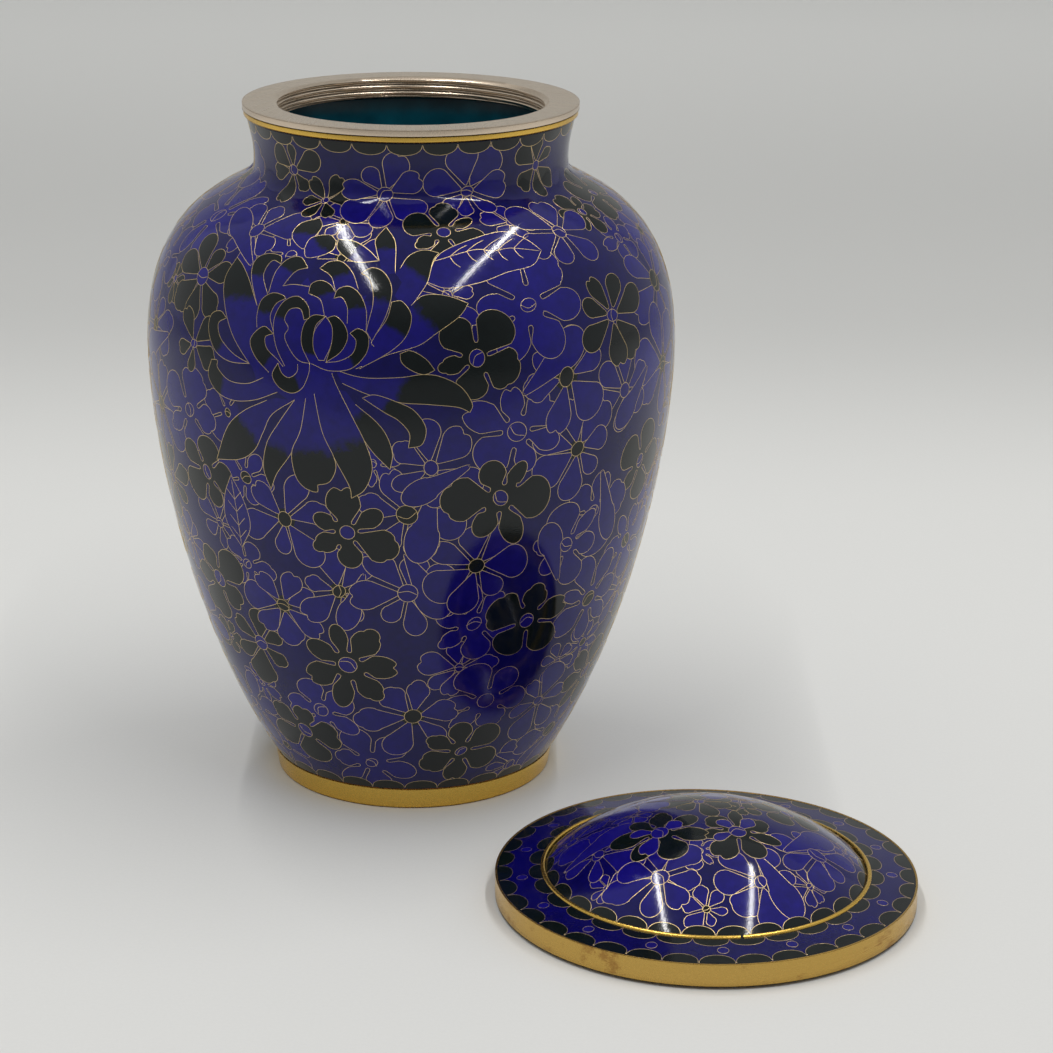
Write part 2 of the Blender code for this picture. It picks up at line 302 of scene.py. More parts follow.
@dataclass(frozen=True)
class CellEnamel:
    """Polished enamel in cells: ground, blue petals and green-black petals."""

    ground: Colour = (0.0026, 0.0018, 0.078)
    petal: Colour = (0.0052, 0.0033, 0.126)
    pale_petal: Colour = (0.0072, 0.0046, 0.165)
    dark: Colour = (0.0030, 0.0060, 0.0065)
    pit_colour: Colour = (0.002, 0.002, 0.003)
    roughness: float = 0.055
    ior: float = 1.41
    cloud_scale: float = 420.0
    pit_scale: float = 420.0
    polish_fineness: float = 2000.0
    bump: float = 0.12

    def build(self, effects: Effects) -> Material:
        """Make the material, which reads each cell's fill from the mesh."""
        material, tree, shader = new_material("cell_enamel")
        fill = tree.nodes.new("ShaderNodeAttribute")
        fill.attribute_name = "fill"
        parts = tree.nodes.new("ShaderNodeSeparateColor")
        tree.links.new(fill.outputs["Color"], parts.inputs[0])
        darkness, petal, chance = parts.outputs
        clouds = place_group(tree, effects.clouds, Scale=self.cloud_scale, Amount=1.0)
        ragged = calc(tree, "ADD", darkness, calc(tree, "MULTIPLY", clouds, 0.5))
        dark_share = spread(tree, ragged, 0.35, 0.65)
        blue = blend_colours(tree, chance, self.petal, self.pale_petal)
        base = blend_colours(tree, petal, self.ground, blue)
        coloured = blend_colours(tree, dark_share, base, self.dark)
        tone = tree.nodes.new("ShaderNodeHueSaturation")
        tree.links.new(spread(tree, clouds, -0.5, 0.5, 0.75, 1.25), tone.inputs["Value"])
        tree.links.new(coloured, tone.inputs["Color"])
        pits = place_group(tree, effects.pits, Scale=self.pit_scale, Size=0.10)
        final = blend_colours(tree, calc(tree, "MULTIPLY", pits, 0.6), tone.outputs[0], self.pit_colour)
        tree.links.new(final, shader.inputs["Base Color"])
        tree.links.new(spread(tree, clouds, -0.6, 0.6, self.roughness, 1.8 * self.roughness),
                       shader.inputs["Roughness"])
        lines = place_group(tree, effects.turning, Fineness=self.polish_fineness, Length=2.0)
        marks = calc(tree, "ADD", calc(tree, "MULTIPLY", clouds, 0.2), lines)
        add_bump(tree, shader, calc(tree, "SUBTRACT", marks, pits), self.bump, 0.1 * MM)
        shader.inputs["IOR"].default_value = self.ior
        return material


@dataclass(frozen=True)
class PlainEnamel:
    """One colour of enamel, slightly cloudy, as inside the vase."""

    colour: Colour = (0.005, 0.125, 0.185)
    deep: Colour = (0.002, 0.065, 0.100)
    roughness: float = 0.22
    ior: float = 1.38
    cloud_scale: float = 150.0
    pit_scale: float = 300.0
    bump: float = 0.25

    def build(self, effects: Effects) -> Material:
        """Make the material from the shared effects."""
        material, tree, shader = new_material("plain_enamel")
        clouds = place_group(tree, effects.clouds, Scale=self.cloud_scale, Amount=1.0)
        share = spread(tree, clouds, -0.4, 0.4)
        tree.links.new(blend_colours(tree, share, self.deep, self.colour), shader.inputs["Base Color"])
        pits = place_group(tree, effects.pits, Scale=self.pit_scale, Size=0.12)
        add_bump(tree, shader, calc(tree, "SUBTRACT", clouds, pits), self.bump, 0.2 * MM)
        shader.inputs["Roughness"].default_value = self.roughness
        shader.inputs["IOR"].default_value = self.ior
        return material


@dataclass(frozen=True)
class TurnedMetal:
    """Plated metal with lathe or brush lines and some tarnish.

    A line depth of 0 leaves the lines to colour and roughness only.
    """

    name: str
    colour: Colour
    tarnish: Colour
    roughness: float
    line_depth: float
    tarnish_share: float
    fineness: float = 3000.0
    line_length: float = 3.0
    stain_scale: float = 240.0

    def build(self, effects: Effects) -> Material:
        """Make the material from the shared effects."""
        material, tree, shader = new_material(self.name)
        lines = place_group(tree, effects.turning, Fineness=self.fineness, Length=self.line_length)
        clouds = place_group(tree, effects.clouds, Scale=self.stain_scale, Amount=1.0)
        mixed = calc(tree, "ADD", clouds, calc(tree, "MULTIPLY", lines, 0.5))
        stain = spread(tree, mixed, 0.62 - self.tarnish_share, 0.95 - self.tarnish_share)
        colour = blend_colours(tree, stain, self.colour, self.tarnish)
        tree.links.new(colour, shader.inputs["Base Color"])
        rough = spread(tree, lines, 0.3, 0.7, 0.75 * self.roughness, 1.3 * self.roughness)
        tree.links.new(calc(tree, "ADD", rough, calc(tree, "MULTIPLY", stain, 0.12)),
                       shader.inputs["Roughness"])
        shader.inputs["Metallic"].default_value = 1.0
        if self.line_depth > 0:
            add_bump(tree, shader, lines, self.line_depth, 0.1 * MM)
        return material


@dataclass(frozen=True)
class StagePaper:
    """The pale matt table and backdrop.

    Its tone goes by the distance behind the middle, along the table and up
    the wall, and is painted light and shade: painted shade behind the vase,
    standing in for a wall in shade, painted light far off, and painted shade
    in front, deepest near the front edge, where it shows as a dark reflection
    in the vase. Each stretch is where one change of painted light or shade
    starts and ends, in metres.
    """

    middle: float
    colour: Colour = (0.772, 0.778, 0.768)
    # painted shade behind the vase, standing in for a wall in shade
    painted_back_shade_share: float = 0.79
    painted_back_shade_stretch: Pair = (0.25, 0.63)
    # painted light far off: the table grows lighter again
    painted_far_light_gain: float = 1.39
    painted_far_light_stretch: Pair = (0.78, 1.68)
    # painted shade in front of the vase
    front_shade_share: float = 0.94
    painted_front_shade_stretch: Pair = (-0.30, 0.20)
    # deeper painted shade near the table's front edge, which shows as a dark reflection in the vase
    painted_edge_shade_share: float = 0.60
    painted_edge_shade_stretch: Pair = (-0.56, -0.34)
    roughness: float = 0.62
    specular: float = 0.35

    def build(self) -> Material:
        """Make the material, its painted light and shade changing with the distance from the middle."""
        material, tree, shader = new_material("stage_paper")
        grain = noise(tree, own_place(tree), 900.0, 3.0)
        parts = tree.nodes.new("ShaderNodeSeparateXYZ")
        tree.links.new(own_place(tree), parts.inputs[0])
        away = calc(tree, "SUBTRACT", calc(tree, "ADD", parts.outputs[1], parts.outputs[2]), self.middle)
        # painted shade behind the vase
        back_shade = spread(tree, away, *self.painted_back_shade_stretch, 1.0, self.painted_back_shade_share)
        # painted light far off
        far = spread(tree, away, *self.painted_far_light_stretch, 1.0, self.painted_far_light_gain)
        # painted shade in front
        front = spread(tree, away, *self.painted_front_shade_stretch, self.front_shade_share, 1.0)
        # painted shade near the front edge, seen in the vase's reflections
        edge = spread(tree, away, *self.painted_edge_shade_stretch, self.painted_edge_shade_share, 1.0)
        paper = spread(tree, grain.outputs["Fac"], 0.3, 0.7, 0.985, 1.0)
        # the painted shade and painted light multiply the paper's grain
        shade = paper
        for ramp in (back_shade, far, front, edge):
            shade = calc(tree, "MULTIPLY", shade, ramp)
        tone = tree.nodes.new("ShaderNodeHueSaturation")
        tone.inputs["Color"].default_value = (*self.colour, 1.0)
        tree.links.new(shade, tone.inputs["Value"])
        tree.links.new(tone.outputs[0], shader.inputs["Base Color"])
        shader.inputs["Roughness"].default_value = self.roughness
        shader.inputs["Specular IOR Level"].default_value = self.specular
        return material


# -------------------- curves


def through(points: list[Pair], step: float) -> Points:
    """A smooth open curve through points, sampled about every step.

    Args:
        points: where the curve passes, in order.
        step: the distance between samples.

    Returns:
        An array of samples, both ends included.
    """
    knots = np.array(points, dtype=float)
    if len(knots) == 2:
        count = max(2, int(np.hypot(*(knots[1] - knots[0])) / step) + 1)
        return knots[0] + (knots[1] - knots[0]) * np.linspace(0, 1, count)[:, None]
    padded = np.vstack([2 * knots[0] - knots[1], knots, 2 * knots[-1] - knots[-2]])
    samples = []
    for before, start, end, after in zip(padded, padded[1:], padded[2:], padded[3:]):
        count = max(2, int(np.hypot(*(end - start)) / step) + 1)
        t = np.linspace(0, 1, count, endpoint=False)[:, None]
        leave = (end - before) / 2
        arrive = (after - start) / 2
        curve = ((2 * t ** 3 - 3 * t ** 2 + 1) * start + (t ** 3 - 2 * t ** 2 + t) * leave
                 + (3 * t ** 2 - 2 * t ** 3) * end + (t ** 3 - t ** 2) * arrive)
        samples.append(curve)
    samples.append(knots[-1:])
    return np.vstack(samples)


def circle(radius: float, step: float = LINE_STEP) -> Points:
    """A closed ring of points round the origin."""
    count = max(12, int(math.tau * radius / step))
    turn = np.linspace(0, math.tau, count, endpoint=False)
    return radius * np.column_stack([np.cos(turn), np.sin(turn)])


def rotate(points: Points, angle: float) -> Points:
    """Points turned anticlockwise round the origin."""
    c, s = math.cos(angle), math.sin(angle)
    return points @ np.array([[c, s], [-s, c]])


def inside(points: Points, outline: Points) -> Points:
    """Which points lie within a closed outline."""
    low, high = outline.min(axis=0), outline.max(axis=0)
    found = np.zeros(len(points), dtype=bool)
    near = np.nonzero(((points >= low) & (points <= high)).all(axis=1))[0]
    if not len(near):
        return found
    x, y = points[near, 0][:, None], points[near, 1][:, None]
    x0, y0 = outline[:, 0], outline[:, 1]
    x1, y1 = np.roll(x0, -1), np.roll(y0, -1)
    crosses = (y0 > y) != (y1 > y)
    with np.errstate(divide="ignore", invalid="ignore"):
        at = x0 + (y - y0) * (x1 - x0) / (y1 - y0)
    found[near] = (np.count_nonzero(crosses & (x < at), axis=1) % 2) == 1
    return found


# -------------------- turned surfaces


@dataclass
class Round:
    """A surface turned round an upright axis, with a flat plan to draw on.

    A place on it is an azimuth, from the front towards +X, and a distance
    along its outline.  The plan keeps shapes: a conformal plan for a tall
    surface, and distances from the middle for a dome or a flat flange.
    """

    axis: Pair
    outline: Points
    dome: bool = False

    def __post_init__(self) -> None:
        """Work out the distances, the plan and the lean from the outline."""
        self.radius, self.height = self.outline[:, 0], self.outline[:, 1]
        steps = np.hypot(*np.diff(self.outline, axis=0).T)
        self.along = np.r_[0.0, np.cumsum(steps)]
        self.length = float(self.along[-1])
        if self.dome:
            self.plan = self.radius[-1] + self.length - self.along
        else:
            middle = (self.radius[1:] + self.radius[:-1]) / 2
            self.plan = np.exp(-np.r_[0.0, np.cumsum(steps / middle)])
        rise = np.gradient(self.height, self.along)
        spread_out = np.gradient(self.radius, self.along)
        self.lean = np.column_stack([rise, -spread_out])

    def at(self, values: Points, along: float | Points) -> Points:
        """A value of the outline at distances along it."""
        return np.interp(along, self.along, values)

    def to_plan(self, azimuth: float | Points, along: Points) -> Points:
        """Plan points for azimuths and distances along the outline."""
        reach = self.at(self.plan, along)
        return np.column_stack([reach * np.sin(azimuth), -reach * np.cos(azimuth)])

    def from_plan(self, points: Points) -> tuple[Points, Points]:
        """Azimuths and distances along the outline for plan points."""
        azimuth = np.arctan2(points[:, 0], -points[:, 1])
        reach = np.hypot(points[:, 0], points[:, 1])
        return azimuth, np.interp(reach, self.plan[::-1], self.along[::-1])

    def solid(self, points: Points, lift: float = 0.0) -> tuple[Points, Points]:
        """Places and normals in space for plan points."""
        azimuth, along = self.from_plan(points)
        return self.solid_at(azimuth, along, lift)

    def solid_at(self, azimuth: Points, along: Points,
                 lift: float = 0.0) -> tuple[Points, Points]:
        """Places and normals in space for places on the surface.

        Args:
            azimuth: their azimuths.
            along: their distances along the outline.
            lift: distance off the surface.

        Returns:
            Places relative to the axis, and unit normals.
        """
        out, up = self.at(self.lean[:, 0], along), self.at(self.lean[:, 1], along)
        size = np.hypot(out, up)
        out, up = out / size, up / size
        radius = self.at(self.radius, along) + lift * out
        height = self.at(self.height, along) + lift * up
        sine, cosine = np.sin(azimuth), np.cos(azimuth)
        places = np.column_stack([radius * sine, -radius * cosine, height])
        normals = np.column_stack([out * sine, -out * cosine, up])
        return places, normals

    def draw(self, azimuth: float, along: float, turn: float, points: Points) -> Points:
        """Plan points of a shape drawn flat at a place on the surface.

        Args:
            azimuth: where the shape's origin goes.
            along: the origin's distance along the outline.
            turn: how far the shape is turned anticlockwise.
            points: the shape, x to the right and y along the outline.

        Returns:
            The shape's plan points.
        """
        shape = rotate(points, turn)
        if self.dome:
            reach = float(self.at(self.plan, along))
            return rotate(shape + np.array([0.0, -reach]), azimuth)
        heights = along + shape[:, 1]
        turned_by = azimuth + shape[:, 0] / self.at(self.radius, heights)
        return self.to_plan(turned_by, heights)


# -------------------- enamel cells and wires


class Fill(Enum):
    """What a cell holds: how dark it is, and whether it is a petal."""

    GROUND = (0.0, 0.0)
    BLUE = (0.0, 1.0)
    DARK = (1.0, 1.0)


@dataclass
class Item:
    """One shape of the drawing: a filled cell, or only a wire.

    The wire follows the whole outline unless other lines are given.  A fade
    runs from a plan point that stays blue to one that is dark.
    """

    points: Points
    fill: Fill | None = None
    wired: bool = True
    closed: bool = True
    chance: float = 0.5
    fade: tuple[Points, Points] | None = None
    lines: tuple[Points, ...] | None = None

    def wires(self) -> list[Run]:
        """The lines that its wire follows, and whether each is a ring."""
        if self.lines is not None:
            return [(line, False) for line in self.lines]
        return [(self.points, self.closed)] if self.wired else []


@dataclass
class Drawing:
    """Shapes laid over one another on a turned surface, the first on top.

    The grid is the distance between loose points that keep the surface's
    curve, the back is the enamel's thickness, and no wire comes nearer than
    the margin to the surface's edges.
    """

    surface: Round
    items: list[Item] = field(default_factory=list)
    edge_count: int = 360
    grid: float = 4.0 * MM
    back: float = 1.0 * MM
    back_step: float = 8 * MM
    margin: float = 0.35 * MM

    def runs(self) -> list[Run]:
        """The stretches of wire that stay in sight.

        Returns:
            Each stretch's plan points, and whether it is a closed ring.
        """
        stretches = []
        highest = self.surface.length - (0.0 if self._has_apex() else self.margin)
        lines = [(line, closed, index) for index, item in enumerate(self.items)
                 for line, closed in item.wires()]
        for (points, closed, _), out_of_sight in zip(lines, self._hidden_samples(lines)):
            along = self.surface.from_plan(points)[1]
            seen = ~out_of_sight & (along > self.margin) & (along <= highest)
            if seen.all():
                stretches.append((points, closed))
                continue
            stretches += [(run, False) for run in split_runs(points, seen, closed)]
        return stretches

    def _hidden_samples(self, lines: list[tuple[Points, bool, int]]) -> list[Points]:
        """Find what covers the wires.

        Args:
            lines: each wire's samples, whether it is a ring, and its item's number.

        Returns:
            For each wire, which of its samples a higher item covers.
        """
        starts = np.cumsum([0] + [len(points) for points, _, _ in lines])
        everything = np.vstack([points for points, _, _ in lines])
        owner = np.repeat([index for _, _, index in lines], np.diff(starts))
        hidden = np.zeros(len(everything), dtype=bool)
        for index, item in enumerate(self.items):
            if item.fill is None:
                continue
            below = np.nonzero(owner > index)[0]
            hidden[below] |= inside(everything[below], item.points)
        return [hidden[a:b] for a, b in zip(starts, starts[1:])]

    def _grid_points(self) -> Points:
        """Loose points all over the surface, so that its curve is kept."""
        rows = max(3, int(self.surface.length / self.grid))
        points = []
        for row in range(1, rows):
            along = self.surface.length * row / rows
            around = math.tau * float(self.surface.at(self.surface.radius, along))
            count = max(6, int(around / self.grid))
            azimuth = (np.arange(count) + 0.5 * (row % 2)) * math.tau / count
            points.append(self.surface.to_plan(azimuth, np.full(count, along)))
        return np.vstack(points)

    def _edge_ring(self, along: float) -> Points:
        """Plan points round one edge of the surface."""
        azimuth = np.arange(self.edge_count) * math.tau / self.edge_count
        return self.surface.to_plan(azimuth, np.full(self.edge_count, along))

    def cells(self, stretches: list[Run]) -> tuple[Points, Points]:
        """Split the plan into triangles along the wires.

        Args:
            stretches: the wires in sight.

        Returns:
            Plan points and triangles.
        """
        surface = self.surface
        rings = [self._edge_ring(0.0)]
        if not self._has_apex():
            rings.append(self._edge_ring(surface.length))
        coords, edges = [], []
        for ring in rings:
            add_chain(coords, edges, ring, True)
        for run, closed in stretches:
            add_chain(coords, edges, run, closed)
        coords += [tuple(point) for point in self._grid_points()]
        if self._has_apex():
            coords.append((0.0, 0.0))
        result = geometry.delaunay_2d_cdt(coords, edges, [], 0, 1e-7, False)
        points = np.array([tuple(point) for point in result[0]])
        triangles = np.array(result[2])
        if not self._has_apex():
            hole = surface.plan[-1] * math.cos(math.pi / self.edge_count)
            middle = points[triangles].mean(axis=1)
            triangles = triangles[np.hypot(middle[:, 0], middle[:, 1]) > hole]
        return points, triangles

    def _has_apex(self) -> bool:
        """Whether the surface closes over its axis."""
        return self.surface.radius[-1] < ON_AXIS

    def fills(self, points: Points, triangles: Points) -> Points:
        """Find what each triangle is filled with.

        Args:
            points: plan points.
            triangles: the triangles between them.

        Returns:
            Each corner's darkness, petal or ground, and chance, as a colour.
        """
        middle = points[triangles].mean(axis=1)
        waiting = np.arange(len(middle))
        colours = np.zeros((len(middle), 3, 4))
        colours[:, :, 2] = 0.5
        colours[:, :, 3] = 1.0
        for item in self.items:
            if item.fill is None:
                continue
            hit = inside(middle[waiting], item.points)
            chosen = waiting[hit]
            waiting = waiting[~hit]
            darkness, petal = item.fill.value
            colours[chosen, :, 0] = darkness
            colours[chosen, :, 1] = petal
            colours[chosen, :, 2] = item.chance
            if item.fade is not None and len(chosen):
                start, end = item.fade
                run = end - start
                share = (points[triangles[chosen]] - start) @ run / (run @ run)
                colours[chosen, :, 0] = np.clip(share, 0.0, 1.0)
        return colours

    def enamel(self, name: str, stretches: list[Run]) -> Piece:
        """Make the enamel as one closed skin, its cells marked with their fill.

        Args:
            name: the new piece's name.
            stretches: the wires in sight, which the cells lie between.

        Returns:
            The new piece.
        """
        plan, triangles = self.cells(stretches)
        colours = self.fills(plan, triangles)
        places, normals = self.surface.solid(plan)
        front = places[triangles]
        facing = np.cross(front[:, 1] - front[:, 0], front[:, 2] - front[:, 0])
        flip = (facing * normals[triangles[:, 0]]).sum(axis=1) < 0
        triangles[flip] = triangles[flip][:, ::-1]
        colours[flip] = colours[flip][:, ::-1]
        vertices = [tuple(place) for place in places]
        faces = [tuple(int(i) for i in triangle) for triangle in triangles]
        smooth_normals = [tuple(normal) for normal in normals]
        self._add_back(plan, vertices, faces, smooth_normals)
        mesh = bpy.data.meshes.new(name)
        mesh.from_pydata(vertices, [], faces)
        layer = mesh.color_attributes.new("fill", "FLOAT_COLOR", "CORNER")
        values = np.zeros((len(mesh.loops), 4))
        values[:len(triangles) * 3] = colours.reshape(-1, 4)
        layer.data.foreach_set("color", values.ravel())
        mesh.shade_smooth()
        mesh.normals_split_custom_set_from_vertices(smooth_normals)
        return bpy.data.objects.new(name, mesh)

    def _add_back(self, plan: Points, vertices: list, faces: list, normals: list) -> None:
        """Close the skin with a plain wall behind it, one thickness in.

        Args:
            plan: the front's plan points.
            vertices: the mesh's vertices so far, which this adds to.
            faces: the mesh's faces so far, which this adds to.
            normals: the vertices' normals so far, which this adds to.
        """
        surface = self.surface
        reach = np.hypot(plan[:, 0], plan[:, 1])
        azimuth = np.arctan2(plan[:, 0], -plan[:, 1])
        start = ring_of(reach, azimuth, surface.plan[0])
        rows = max(2, int(surface.length / self.back_step))
        stations = [surface.length * row / rows for row in range(rows + (0 if self._has_apex() else 1))]
        around = azimuth[start]
        rings = [start]
        for along in stations:
            places, outward = surface.solid_at(around, np.full(len(around), along), -self.back)
            rings.append(np.arange(len(vertices), len(vertices) + len(around)))
            vertices += [tuple(place) for place in places]
            normals += [tuple(-normal) for normal in outward]
        if self._has_apex():
            top, _ = surface.solid_at(np.zeros(1), np.array([surface.length]), -self.back)
            vertices.append((0.0, 0.0, float(top[0, 2])))
            normals.append((0.0, 0.0, -1.0))
            last = rings[-1]
            tip = len(vertices) - 1
            faces += [(int(last[i]), tip, int(last[(i + 1) % len(last)])) for i in range(len(last))]
        else:
            rings.append(ring_of(reach, azimuth, surface.plan[-1]))
        for lower, upper in zip(rings, rings[1:]):
            faces += wall_between(lower, upper)

    def wires(self, name: str, stretches: list[Run], width: float,
              rise: float, sink: float) -> Piece:
        """Make all wires in sight, each a low ridge let into the enamel.

        Args:
            name: the new piece's name.
            stretches: the wires' plan points, and whether each is a ring.
            width: a wire's width.
            rise: how far its ridge stands above the enamel.
            sink: how far its foot lies below the enamel.

        Returns:
            The new piece.
        """
        vertices, faces = [], []
        for run, closed in stretches:
            places, normals = self.surface.solid(run)
            ahead = np.roll(places, -1, axis=0) - np.roll(places, 1, axis=0)
            if not closed:
                ahead[0] = places[1] - places[0]
                ahead[-1] = places[-1] - places[-2]
            side = np.cross(normals, ahead)
            side *= width / 2 / np.maximum(np.linalg.norm(side, axis=1), 1e-9)[:, None]
            section = np.stack([places + side - sink * normals, places + rise * normals,
                                places - side - sink * normals], axis=1)
            add_prism(vertices, faces, section, closed)
        mesh = bpy.data.meshes.new(name)
        mesh.from_pydata(vertices, [], faces)
        mesh.shade_smooth()
        return bpy.data.objects.new(name, mesh)


def add_chain(coords: list, edges: list, points: Points, closed: bool) -> None:
    """Add a run of points and the edges between them.

    Args:
        coords: all points so far, which this adds to.
        edges: all edges so far, which this adds to.
        points: the run's points.
        closed: whether the run is a ring.
    """
    first = len(coords)
    coords += [tuple(point) for point in points]
    edges += [(first + i, first + i + 1) for i in range(len(points) - 1)]
    if closed:
        edges.append((first + len(points) - 1, first))


def ring_of(reach: Points, azimuth: Points, edge: float) -> Points:
    """The vertices on an edge of a plan, in order of azimuth."""
    found = np.nonzero(np.abs(reach - edge) < 1e-6 * max(edge, 1.0))[0]
    return found[np.argsort(azimuth[found])]


def wall_between(lower: Points, upper: Points) -> list[tuple]:
    """Faces between two rings with as many points each, seen from the axis."""
    count = len(lower)
    return [(int(lower[i]), int(upper[i]), int(upper[(i + 1) % count]), int(lower[(i + 1) % count]))
            for i in range(count)]


def split_runs(points: Points, seen: Points, closed: bool) -> list[Points]:
    """Cut a line into its stretches in sight, each ended half way to what hides it.

    Args:
        points: the line's points.
        seen: which of them are in sight.
        closed: whether the line is a ring.

    Returns:
        The points of each stretch.
    """
    if not seen.any():
        return []
    if closed:
        shift = int(np.argmin(seen)) + 1
        points = np.roll(points, -shift, axis=0)
        seen = np.roll(seen, -shift)
    stretches = []
    start = None
    for index in range(len(points) + 1):
        visible = index < len(points) and seen[index]
        if visible and start is None:
            start = index
        if not visible and start is not None:
            run = [points[i] for i in range(start, index)]
            if start > 0 or closed:
                run.insert(0, (points[start] + points[start - 1]) / 2)
            if index < len(points):
                run.append((points[index] + points[index - 1]) / 2)
            stretches.append(np.array(run))
            start = None
    return [run for run in stretches if len(run) > 2]


def add_prism(vertices: list, faces: list, section: Points, closed: bool) -> None:
    """Add a three-sided bar, capped unless it is a ring.

    Args:
        vertices: the mesh's vertices so far, which this adds to.
        faces: the mesh's faces so far, which this adds to.
        section: the three corners of each section along the bar.
        closed: whether the bar is a ring.
    """
    first = len(vertices)
    count = len(section)
    vertices += [tuple(point) for point in section.reshape(-1, 3)]
    last = count if closed else count - 1
    for i in range(last):
        a, b = first + 3 * i, first + 3 * ((i + 1) % count)
        faces += [(a, a + 1, b + 1, b), (a + 1, a + 2, b + 2, b + 1), (a + 2, a, b, b + 2)]
    if not closed:
        end = first + 3 * (count - 1)
        faces += [(first, first + 2, first + 1), (end, end + 1, end + 2)]


# -------------------- turned pieces


def cad_profile(node: Piece, axis: Pair) -> Points:
    """The closed outline of a turned CAD node, cut at the azimuth of +X.

    Args:
        node: the CAD node.
        axis: its upright axis.

    Returns:
        Radius and height of each corner, in order round the outline.
    """
    places = {}
    for vertex in node.data.vertices:
        x, y, z = vertex.co.x - axis[0], vertex.co.y - axis[1], vertex.co.z
        if abs(y) < 2e-6 and x > -2e-6:
            places[vertex.index] = (round(x * 1e6), round(z * 1e6))
    beside = {}
    for edge in node.data.edges:
        a, b = edge.vertices
        if a in places and b in places and places[a] != places[b]:
            beside.setdefault(places[a], set()).add(places[b])
            beside.setdefault(places[b], set()).add(places[a])
    ends = [place for place, others in beside.items() if len(others) == 1]
    start = min(ends or beside)
    order = [start]
    while True:
        onward = [place for place in beside[order[-1]] if place not in order]
        if not onward:
            break
        order.append(min(onward))
    return np.array(order) * 1e-6


def refined(profile: Points, closed: bool, soften: float = CORNER_EASE) -> Points:
    """An outline with its gentle bends made smooth and its corners eased.

    Args:
        profile: corners in order.
        closed: whether the last corner joins the first.
        soften: how far a sharp corner is rounded back.

    Returns:
        The finer outline.
    """
    count = len(profile)
    before = np.roll(profile, 1, axis=0) - profile
    after = np.roll(profile, -1, axis=0) - profile
    bend = np.abs(np.angle(np.exp(1j * (np.arctan2(after[:, 1], after[:, 0])
                                        - np.arctan2(-before[:, 1], -before[:, 0])))))
    sharp = bend > SHARP_BEND
    if not closed:
        sharp[0] = sharp[-1] = True
    if not sharp.any():
        ring = np.vstack([profile, profile[:1]])
        return through([tuple(p) for p in ring], LONG_STEP)[:-1]
    first = int(np.argmax(sharp))
    order = [(first + i) % count for i in range(count)] + ([first] if closed else [])
    pieces = []
    stretch = [profile[order[0]]]
    for index in order[1:]:
        stretch.append(profile[index])
        if sharp[index]:
            pieces.append(through([tuple(p) for p in stretch], LONG_STEP))
            stretch = [profile[index]]
    line = []
    for number, piece in enumerate(pieces):
        following = pieces[(number + 1) % len(pieces)]
        line += [tuple(p) for p in piece[:-1]]
        if number == len(pieces) - 1 and not closed:
            line.append(tuple(piece[-1]))
            continue
        line += eased_corner(piece[-2], piece[-1], following[1], soften)
    if closed:
        line = line[1:]
    return np.array(line)


def eased_corner(before: Points, corner: Points, after: Points, soften: float) -> list[Pair]:
    """Round a corner back with a small curve.

    Args:
        before: the point ahead of the corner.
        corner: the corner.
        after: the point that follows it.
        soften: how far back the curve starts.

    Returns:
        The three points that take the corner's place.
    """
    into, out = before - corner, after - corner
    reach_in, reach_out = np.hypot(*into), np.hypot(*out)
    ease = min(soften, 0.4 * reach_in, 0.4 * reach_out)
    start = corner + into / reach_in * ease
    end = corner + out / reach_out * ease
    middle = (start + end + 2 * corner) / 4
    return [tuple(start), tuple(middle), tuple(end)]


@dataclass
class Turner:
    """Makes smooth turned pieces that stand for faceted CAD nodes."""

    nodes: dict[str, Piece]
    segments: int = 192

    def from_node(self, name: str, node: str, axis: Pair) -> Piece:
        """Turn the outline of a CAD node afresh, finer.

        Args:
            name: the new piece's name.
            node: the CAD node's name.
            axis: its upright axis.

        Returns:
            The new piece.
        """
        profile = cad_profile(self.nodes[node], axis)
        touches_axis = profile[:, 0].min() < ON_AXIS
        outline = refined(profile, not touches_axis)
        return self.spin(name, outline, axis, not touches_axis)

    def spin(self, name: str, outline: Points, axis: Pair, closed: bool,
             split: Pair | None = None) -> Piece:
        """Turn an outline about an upright axis.

        Args:
            name: the new piece's name.
            outline: radius and height of each point.
            axis: the upright axis.
            closed: whether the outline's ends meet.
            split: bearing and width of an open joint, if it has one.

        Returns:
            The new piece.
        """
        count = self.segments
        if split is None:
            bearings = np.arange(count) * math.tau / count
        else:
            bearing, width = split
            reach = outline[:, 0].mean()
            half = width / 2 / reach
            bearings = np.linspace(bearing + half, bearing + math.tau - half, count + 1)
        vertices, faces, rings = [], [], []
        for radius, height in outline:
            if radius < ON_AXIS:
                rings.append([len(vertices)])
                vertices.append((axis[0], axis[1], height))
                continue
            rings.append(list(range(len(vertices), len(vertices) + len(bearings))))
            vertices += [(axis[0] + radius * math.cos(b), axis[1] + radius * math.sin(b), height)
                         for b in bearings]
        pairs = list(zip(rings, rings[1:])) + ([(rings[-1], rings[0])] if closed else [])
        for lower, upper in pairs:
            faces += lathe_faces(lower, upper, split is None)
        if split is not None:
            faces.append(tuple(ring[0] for ring in rings))
            faces.append(tuple(ring[-1] for ring in reversed(rings)))
        return mesh_piece(name, vertices, faces)


